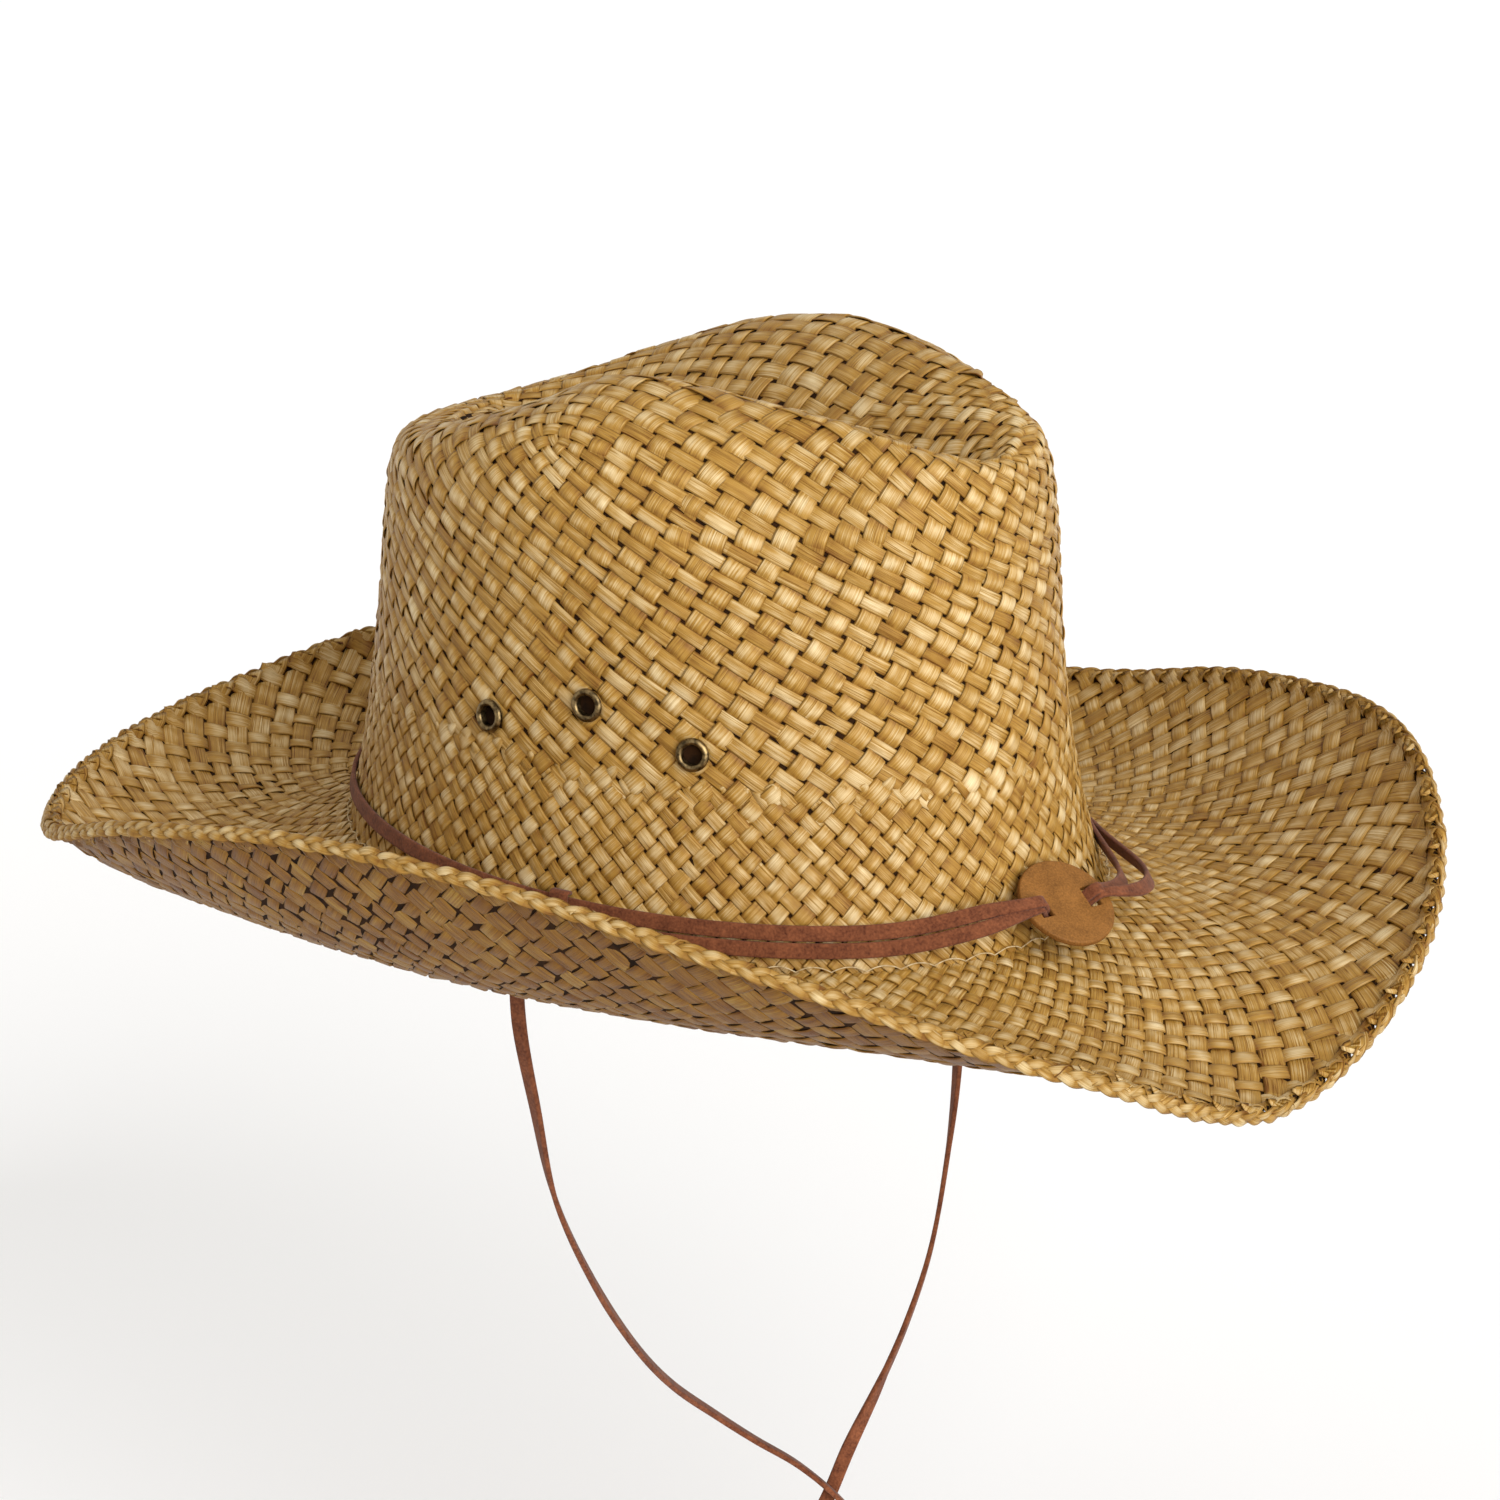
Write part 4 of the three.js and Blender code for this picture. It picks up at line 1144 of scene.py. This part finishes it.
# The share of the underside's painted shade that the whole plait gets
PLAIT_UNDERSIDE_SHADE = 0.25
# The unevenness of the plait, in waves round the brim
PLAIT_WAVES = (31, 47, 59, 83, 101)
PLAIT_SCATTER = 0.06
STRAND_HALF_WIDTH = 0.00112
STRAND_HALF_THICKNESS = 0.00042
# The section of a plaited straw, as shares of its half width and half thickness
PLAIT_SECTION = np.array([
    (1, 0), (0.7, 0.75), (0, 1), (-0.7, 0.75), (-1, 0), (-0.7, -0.75), (0, -1), (0.7, -0.75),
])

edge_angles = np.interp(
    np.linspace(0, SHEET_COLUMNS, 4 * SHEET_COLUMNS + 1), np.arange(SHEET_COLUMNS + 1), turn_angles
)
edge_line, edge_out, edge_up = edge_frame(edge_angles)
edge_middle = edge_line + edge_out * PLAIT_OUT - edge_up * PLAIT_DOWN
edge_face = edge_out * math.cos(PLAIT_FACE) + edge_up * math.sin(PLAIT_FACE)
edge_side = edge_up * math.cos(PLAIT_FACE) - edge_out * math.sin(PLAIT_FACE)
edge_way = ways_along(edge_middle)


def along_edge(values, way):
    """The edge's points or directions at any places along it."""
    return np.stack([np.interp(way, edge_way, values[:, k]) for k in range(3)], axis=-1)


plait_turns = int(round(edge_way[-1] / PLAIT_PITCH))
plait_way = np.linspace(0, edge_way[-1], plait_turns * PLAIT_STEPS_PER_PITCH + 1)[:-1]
plait_face = along_edge(edge_face, plait_way)
plait_side = along_edge(edge_side, plait_way)
points_per_straw = len(plait_way) * len(PLAIT_SECTION)
plait_points, plait_faces, plait_uv = [], [], []
rng = np.random.default_rng(3)
for k in range(PLAIT_STRANDS):
    phase = 2 * math.pi * (plait_way / edge_way[-1] * plait_turns + k / PLAIT_STRANDS)
    wobble = sum(
        rng.normal(0, PLAIT_SCATTER)
        * np.sin(waves * 2 * math.pi * plait_way / edge_way[-1] + rng.uniform(0, 6))
        for waves in PLAIT_WAVES
    )
    line = (
        along_edge(edge_middle, plait_way)
        + plait_side * (PLAIT_SWING * (1 + 0.4 * wobble) * np.sin(phase))[:, None]
        + plait_face * (PLAIT_RISE * np.sin(2 * phase))[:, None]
    )
    ahead = ring_ahead(line)
    across = unit(np.cross(plait_face, ahead))
    face = np.cross(ahead, across)
    section = PLAIT_SECTION * (STRAND_HALF_WIDTH, STRAND_HALF_THICKNESS)
    section = section[None] * (1 + wobble)[:, None, None]
    points = line[:, None] + across[:, None] * section[..., :1] + face[:, None] * section[..., 1:]
    plait_points.append(points.reshape(-1, 3))
    plait_faces.append(
        tube_faces(len(plait_way), len(PLAIT_SECTION), True) + k * points_per_straw
    )
    # A crossing in the pattern, with the straw's painted highlight, for each time that the strand
    # lies on top
    plait_uv.append(np.stack(np.broadcast_arrays(
        k + 0.5 + 0.45 * PLAIT_SECTION[None, :, 0], (2 * phase / math.pi - 0.5)[:, None]
    ), axis=-1).reshape(-1, 2))
edge_braid = mesh_object(
    "edge_braid_straw", np.concatenate(plait_points), np.concatenate(plait_faces),
    np.concatenate(plait_uv), raised=np.ones(PLAIT_STRANDS * points_per_straw),
    under=np.full(PLAIT_STRANDS * points_per_straw, PLAIT_UNDERSIDE_SHADE),
)
edge_braid.data.materials.append(straw)
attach(edge_braid, "root")
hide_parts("edge_braid")


# Laces round the crown
# Two strands of the same flat suede lace. The upper one goes right round the crown, the lower
# one only across the front, and both pass out through one slit of the disc and back in
# through the other.

LACE_WIDTH = 0.0038
LACE_THICKNESS = 0.0011
LACE_STEPS_PER_TURN = 360
BAND_HEIGHT = 0.008
STRAND_STEP = LACE_WIDTH + PIECE_GAP
DISC_THICKNESS = 0.0018
DISC_HEIGHT = 0.0103
DISC_STAND_OFF = 0.010
DISC_LEAN = math.radians(56)
DISC_TURN = math.radians(-12)
DISC_SLIT_SPACING = 0.015
LEAVE_WALL_TURN = 34
MEET_WALL_TURN = 46
BRIDGE_STEPS = 24
# Near the disc: the length in which the strands draw together, how far each one does, how much
# narrower it gets, how far the upper one lifts in its own thickness, and each one's bow
PINCH_LENGTH = 0.020
UPPER_DRAWN_IN = 0.8
LOWER_DRAWN_IN = 0.65
UPPER_NARROWED = 0.2
LOWER_NARROWED = 0.4
UPPER_LIFT = 1.05
BOW_MARGIN = 8
UPPER_BOW = 0.0036
LOWER_BOW = 0.0022
KEEPER_TURN = 12
LACE_LEVEL = DISC_THICKNESS / 2 + PIECE_GAP + LACE_THICKNESS / 2
# The laces' way through the disc, as shares of half the slits' spacing and of their level
PAST_DISC = [
    (-1.90, 1), (-1.50, 1), (-1.18, 1), (-1.06, 0.35), (-0.94, -0.35), (-0.82, -1), (-0.40, -1),
    (0.00, -1), (0.40, -1), (0.82, -1), (0.94, -0.35), (1.06, 0.35), (1.18, 1), (1.50, 1),
]
PAST_DISC_STEP = 0.0005

disc_turned = Matrix.Rotation(DISC_TURN, 3, "Z")
disc_normal = disc_turned @ Vector((math.cos(DISC_LEAN), 0, math.sin(DISC_LEAN)))
disc_up = disc_turned @ Vector((-math.sin(DISC_LEAN), 0, math.cos(DISC_LEAN)))
disc_across = disc_turned @ Vector((0, 1, 0))
disc_middle = Vector(wall_point(np.array(0.0), DISC_HEIGHT)) + Vector((DISC_STAND_OFF, 0, 0))


def wall_stretch(first, last):
    """The middle line between the two strands on the wall, and the way up across them."""
    steps = int(round((last - first) / 360 * LACE_STEPS_PER_TURN))
    angle = np.radians(np.linspace(first, last, steps + 1))
    middle, up, out = wall_place(angle, BAND_HEIGHT - STRAND_STEP / 2)
    return middle + out * (PIECE_GAP + LACE_THICKNESS / 2), up


def bridge(middle_a, up_a, middle_b, up_b):
    """A curve between two stretches that leaves and meets them in their own lines."""
    a, b = middle_a[-1], middle_b[0]
    reach = np.linalg.norm(b - a) * 0.4
    leave = a + unit(a - middle_a[-2]) * reach
    meet = b + unit(b - middle_b[1]) * reach
    t = np.linspace(0, 1, BRIDGE_STEPS + 2)[1:-1, None]
    curve = (1 - t) ** 3 * a + 3 * (1 - t) ** 2 * t * leave + 3 * (1 - t) * t**2 * meet + t**3 * b
    return curve, unit(up_a[-1] * (1 - t) + up_b[0] * t)


keeper_turn = 90 - KEEPER_TURN
right_wall = wall_stretch(-keeper_turn, -LEAVE_WALL_TURN)
left_wall = wall_stretch(MEET_WALL_TURN, keeper_turn)
back_wall = wall_stretch(keeper_turn, 360 - keeper_turn)
past_line = smooth_line([
    disc_middle + disc_across * along * DISC_SLIT_SPACING / 2 + disc_normal * level * LACE_LEVEL
    for along, level in PAST_DISC
], PAST_DISC_STEP)
past_disc = past_line, np.tile(np.array(disc_up), (len(past_line), 1))
front_line, front_up = (np.concatenate(parts) for parts in zip(
    right_wall,
    bridge(*right_wall, *past_disc),
    past_disc,
    bridge(*past_disc, *left_wall),
    left_wall,
))
band_line = np.concatenate([front_line, back_wall[0][1:-1]])
band_up = np.concatenate([front_up, back_wall[1][1:-1]])

# Towards the slits the two strands draw together, narrow and lie one over the other, and past
# the disc the upper one goes straight back to the crown while the lower one bows out
front_way = ways_along(front_line)
before_disc = len(right_wall[0]) + BRIDGE_STEPS
slit_ways = [
    front_way[before_disc + np.argmin(np.linalg.norm(
        past_line - np.array(disc_middle + disc_across * end * DISC_SLIT_SPACING / 2), axis=1
    ))]
    for end in (-1, 1)
]
beyond = np.maximum(np.maximum(slit_ways[0] - front_way, front_way - slit_ways[1]), 0)
pinch = np.clip(1 - beyond / PINCH_LENGTH, 0, 1)
pinch = pinch * pinch * (3 - 2 * pinch)
bow = np.zeros(len(front_line))
after_disc = before_disc + len(past_line)
bow_places = slice(after_disc - BOW_MARGIN, after_disc + BRIDGE_STEPS + BOW_MARGIN)
bow[bow_places] = np.sin(np.linspace(0, math.pi, BRIDGE_STEPS + 2 * BOW_MARGIN)) ** 2


def strand_points(line, up, offset, closed, out_by, narrowed):
    """A lace's section along a line between two strands, set off across them and outwards."""
    ahead = ring_ahead(line) if closed else unit(np.gradient(line, axis=0))
    out = unit(np.cross(ahead, up))
    side = np.cross(out, ahead)
    section = lace_section(LACE_WIDTH, LACE_THICKNESS)
    return (
        (line + side * offset[:, None] + out * out_by[:, None])[:, None]
        + section[None, :, :1] * side[:, None] * narrowed[:, None, None]
        + section[None, :, 1:] * out[:, None]
    ).reshape(-1, 3)


lace_sides = len(lace_section(LACE_WIDTH, LACE_THICKNESS))
round_back = np.zeros(len(band_line) - len(front_line))
band_pinch, band_bow = np.concatenate([pinch, round_back]), np.concatenate([bow, round_back])
band_lace = mesh_object(
    "band_lace_suede",
    strand_points(
        band_line, band_up, STRAND_STEP / 2 * (1 - UPPER_DRAWN_IN * band_pinch), True,
        LACE_THICKNESS * UPPER_LIFT * band_pinch - UPPER_BOW * band_bow,
        1 - UPPER_NARROWED * band_pinch,
    ),
    tube_faces(len(band_line), lace_sides, True),
)
front_lace = mesh_object(
    "front_lace_suede",
    strand_points(
        front_line, front_up, -STRAND_STEP / 2 * (1 - LOWER_DRAWN_IN * pinch), False,
        LOWER_BOW * bow, 1 - LOWER_NARROWED * pinch,
    ),
    tube_faces(len(front_line), lace_sides),
)
for piece, node in ((band_lace, "band_lace"), (front_lace, "front_lace")):
    piece.data.materials.append(suede)
    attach(piece, "root")
    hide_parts(node)


# Keepers
# At each side a short loop of the same suede is drawn tight round both strands and sewn to
# the straw, so that the laces stay at the foot of the crown.

KEEPER_WIDTH = 0.005
KEEPER_THICKNESS = 0.001
KEEPER_CLEARANCE = 0.0005
KEEPER_CORNER = 0.0008
KEEPER_STEPS = 6

keeper_tall = LACE_WIDTH + STRAND_STEP + 2 * KEEPER_CLEARANCE + KEEPER_THICKNESS
keeper_deep = LACE_THICKNESS + KEEPER_CLEARANCE + KEEPER_THICKNESS / 2
for side, sign in (("left", 1), ("right", -1)):
    stretch, stretch_up = wall_stretch(sign * keeper_turn - 1, sign * keeper_turn + 1)
    middle, up = stretch[1], stretch_up[1]
    ahead = unit(stretch[2] - stretch[0])
    out = unit(np.cross(ahead, up))
    # Down one leg, round a corner, over the strands, round the other corner and back in
    quarter = np.linspace(0, math.pi / 2, KEEPER_STEPS)
    low = np.stack([
        keeper_deep - KEEPER_CORNER + KEEPER_CORNER * np.sin(quarter),
        -keeper_tall / 2 + KEEPER_CORNER - KEEPER_CORNER * np.cos(quarter),
    ], axis=-1)
    outline = np.concatenate([
        [[0, -keeper_tall / 2]], low, low[::-1] * (1, -1), [[0, keeper_tall / 2]],
    ])
    line = middle + out * (outline[:, :1] - LACE_THICKNESS / 2) + up * outline[:, 1:]
    section = lace_section(KEEPER_WIDTH, KEEPER_THICKNESS)
    normals = unit(np.cross(np.gradient(line, axis=0), np.tile(ahead, (len(line), 1))))
    keeper = mesh_object(
        f"keeper_{side}_suede", swept(line, -normals, section), tube_faces(len(line), len(section))
    )
    keeper.data.materials.append(suede)
    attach(keeper, "root")
    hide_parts(f"keeper_{side}")


# Disc
# A round punched from thick vegetable-tanned leather, with two slits for the laces. Its face
# is smooth, with a fine grain, and its cut edge is slightly rounded.

DISC_DIAMETER = 0.025
DISC_SLIT_WIDTH = 0.0034
DISC_SLIT_LENGTH = 0.0058
DISC_EDGE_ROUNDING = 0.0005
DISC_EDGE_STEPS = 3
DISC_SEGMENTS = 96
DISC_SHARP_ANGLE = math.radians(40)

disc_frame = (
    Matrix.Translation(disc_middle)
    @ Matrix((disc_across, disc_up, disc_normal)).transposed().to_4x4()
)
bpy.ops.mesh.primitive_cylinder_add(
    vertices=DISC_SEGMENTS, radius=DISC_DIAMETER / 2, depth=DISC_THICKNESS
)
disc = bpy.context.object
disc.name = "disc_leather"
for side in (-1, 1):
    bpy.ops.mesh.primitive_cube_add(size=1, location=(side * DISC_SLIT_SPACING / 2, 0, 0))
    slit = bpy.context.object
    slit.scale = (DISC_SLIT_WIDTH, DISC_SLIT_LENGTH, 3 * DISC_THICKNESS)
    bpy.context.view_layer.objects.active = disc
    cut = disc.modifiers.new("slit", "BOOLEAN")
    cut.object = slit
    bpy.ops.object.modifier_apply(modifier=cut.name)
    bpy.data.objects.remove(slit)
soften = disc.modifiers.new("soften", "BEVEL")
soften.width = DISC_EDGE_ROUNDING
soften.segments = DISC_EDGE_STEPS
soften.limit_method = "ANGLE"
bpy.ops.object.modifier_apply(modifier=soften.name)
disc.data.transform(disc_frame)
bpy.ops.object.select_all(action="DESELECT")
disc.select_set(True)
bpy.ops.object.shade_smooth_by_angle(angle=DISC_SHARP_ANGLE)

tan_leather, nodes = new_material("tan_leather", {"Roughness": 0.65, "Specular IOR Level": 0.2})
place = nodes.node("TexCoord", {}, {}, "Object")
cloud = nodes.noise(place, 180, 3)
pores = nodes.noise(place, 2200, 3)
connect(
    tan_leather,
    Base_Color=(cloud * 0.4 + pores * 0.6).ramp((0.3, (98, 62, 22)), (0.7, (148, 99, 45))),
    Normal=pores.bump(0.5, 0.0002),
)
disc.data.materials.append(tan_leather)
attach(disc, "root")
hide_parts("disc")


# Eyelets
# Three two-part brass eyelets are set through each side of the crown: a domed flange outside
# and a washer inside, darkened with age in patches.

EYELET_DIAMETER = 0.0082
EYELET_FLANGE = 0.0009
EYELET_STEPS = 48
EYELET_SHARP_ANGLE = math.radians(50)

antique_brass, nodes = new_material("antique_brass", {"Metallic": 1.0})
place = nodes.node("TexCoord", {}, {}, "Object")
patina = nodes.noise(place, 900, 4)
connect(
    antique_brass,
    Base_Color=patina.ramp((0.35, (66, 54, 36)), (0.7, (160, 136, 94))),
    Roughness=0.24 + patina * 0.3,
)

# From the middle of the wall to each flange, with room for the wall's curve under it
reach = SHEET_THICKNESS / 2 + PIECE_GAP + EYELET_DIAMETER**2 / (4 * HEAD_WIDTH)
bore = EYELET_BORE / 2
flange = EYELET_DIAMETER / 2
eyelet_outline = [
    (bore, -reach - 0.6 * EYELET_FLANGE), (flange * 0.8, -reach - 0.6 * EYELET_FLANGE),
    (flange * 0.9, -reach), (eyelet_barrel, -reach), (eyelet_barrel, reach), (flange, reach),
    (flange * 0.985, reach + EYELET_FLANGE * 0.4), (flange * 0.92, reach + EYELET_FLANGE * 0.75),
    (flange * 0.82, reach + EYELET_FLANGE), (flange * 0.74, reach + EYELET_FLANGE),
    (bore * 1.12, reach + EYELET_FLANGE * 0.8), (bore * 1.03, reach + EYELET_FLANGE * 0.5),
    (bore, reach),
]
for side, sign in (("left", 1), ("right", -1)):
    for row in EYELETS:
        outside, out = map(Vector, eyelet_place(row, sign))
        middle = outside - out * SHEET_THICKNESS / 2
        bpy.ops.object.select_all(action="DESELECT")
        bpy.ops.mesh.primitive_circle_add(vertices=len(eyelet_outline))
        eyelet = bpy.context.object
        eyelet.name = f"eyelet_{side}_{row['name']}_brass"
        for vertex, (radius, level) in zip(eyelet.data.vertices, eyelet_outline):
            vertex.co = (radius, 0, level)
        bpy.ops.object.mode_set(mode="EDIT")
        bpy.ops.mesh.select_all(action="SELECT")
        bpy.ops.mesh.spin(
            steps=EYELET_STEPS, angle=2 * math.pi, center=(0, 0, 0), axis=(0, 0, 1)
        )
        bpy.ops.mesh.select_all(action="SELECT")
        bpy.ops.mesh.remove_doubles(threshold=1e-6)
        bpy.ops.mesh.normals_make_consistent(inside=False)
        bpy.ops.object.mode_set(mode="OBJECT")
        turned = out.to_track_quat("Z", "Y").to_matrix().to_4x4()
        eyelet.data.transform(Matrix.Translation(middle) @ turned)
        bpy.ops.object.shade_smooth_by_angle(angle=EYELET_SHARP_ANGLE)
        eyelet.data.materials.append(antique_brass)
        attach(eyelet, "root")
        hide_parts(f"eyelet_{side}_{row['name']}")


# Floor and light
# A plain pale floor under the hat, which hangs over it as on a head, with one broad soft lamp
# from the right and an even white room.

FLOOR_LEVEL = -0.26
FLOOR_SIZE = 16
FLOOR_COLOUR = (0.94, 0.95, 0.97, 1)
SUN_TURN = math.radians(72)
SUN_RISE = math.radians(22)
SUN_STRENGTH = 3.4
SUN_WIDTH = math.radians(50)
ROOM_COLOUR = (1, 0.97, 0.92, 1)
ROOM_BRIGHTNESS = 0.72

bpy.ops.mesh.primitive_plane_add(size=FLOOR_SIZE, location=(0, 0, FLOOR_LEVEL))
floor = bpy.context.object
floor.name = "floor"
floor.data.materials.append(
    new_material("floor_paint", {"Base Color": FLOOR_COLOUR, "Roughness": 0.9})[0]
)

sun_back = direction(SUN_TURN, SUN_RISE)
bpy.ops.object.light_add(type="SUN", rotation=sun_back.to_track_quat("Z", "Y").to_euler())
bpy.context.object.data.energy = SUN_STRENGTH
bpy.context.object.data.angle = SUN_WIDTH

world = bpy.data.worlds.new("studio")
world.use_nodes = True
room = world.node_tree.nodes["Background"]
room.inputs["Color"].default_value = ROOM_COLOUR
room.inputs["Strength"].default_value = ROOM_BRIGHTNESS
bpy.context.scene.world = world
bpy.context.scene.view_settings.view_transform = "Standard"
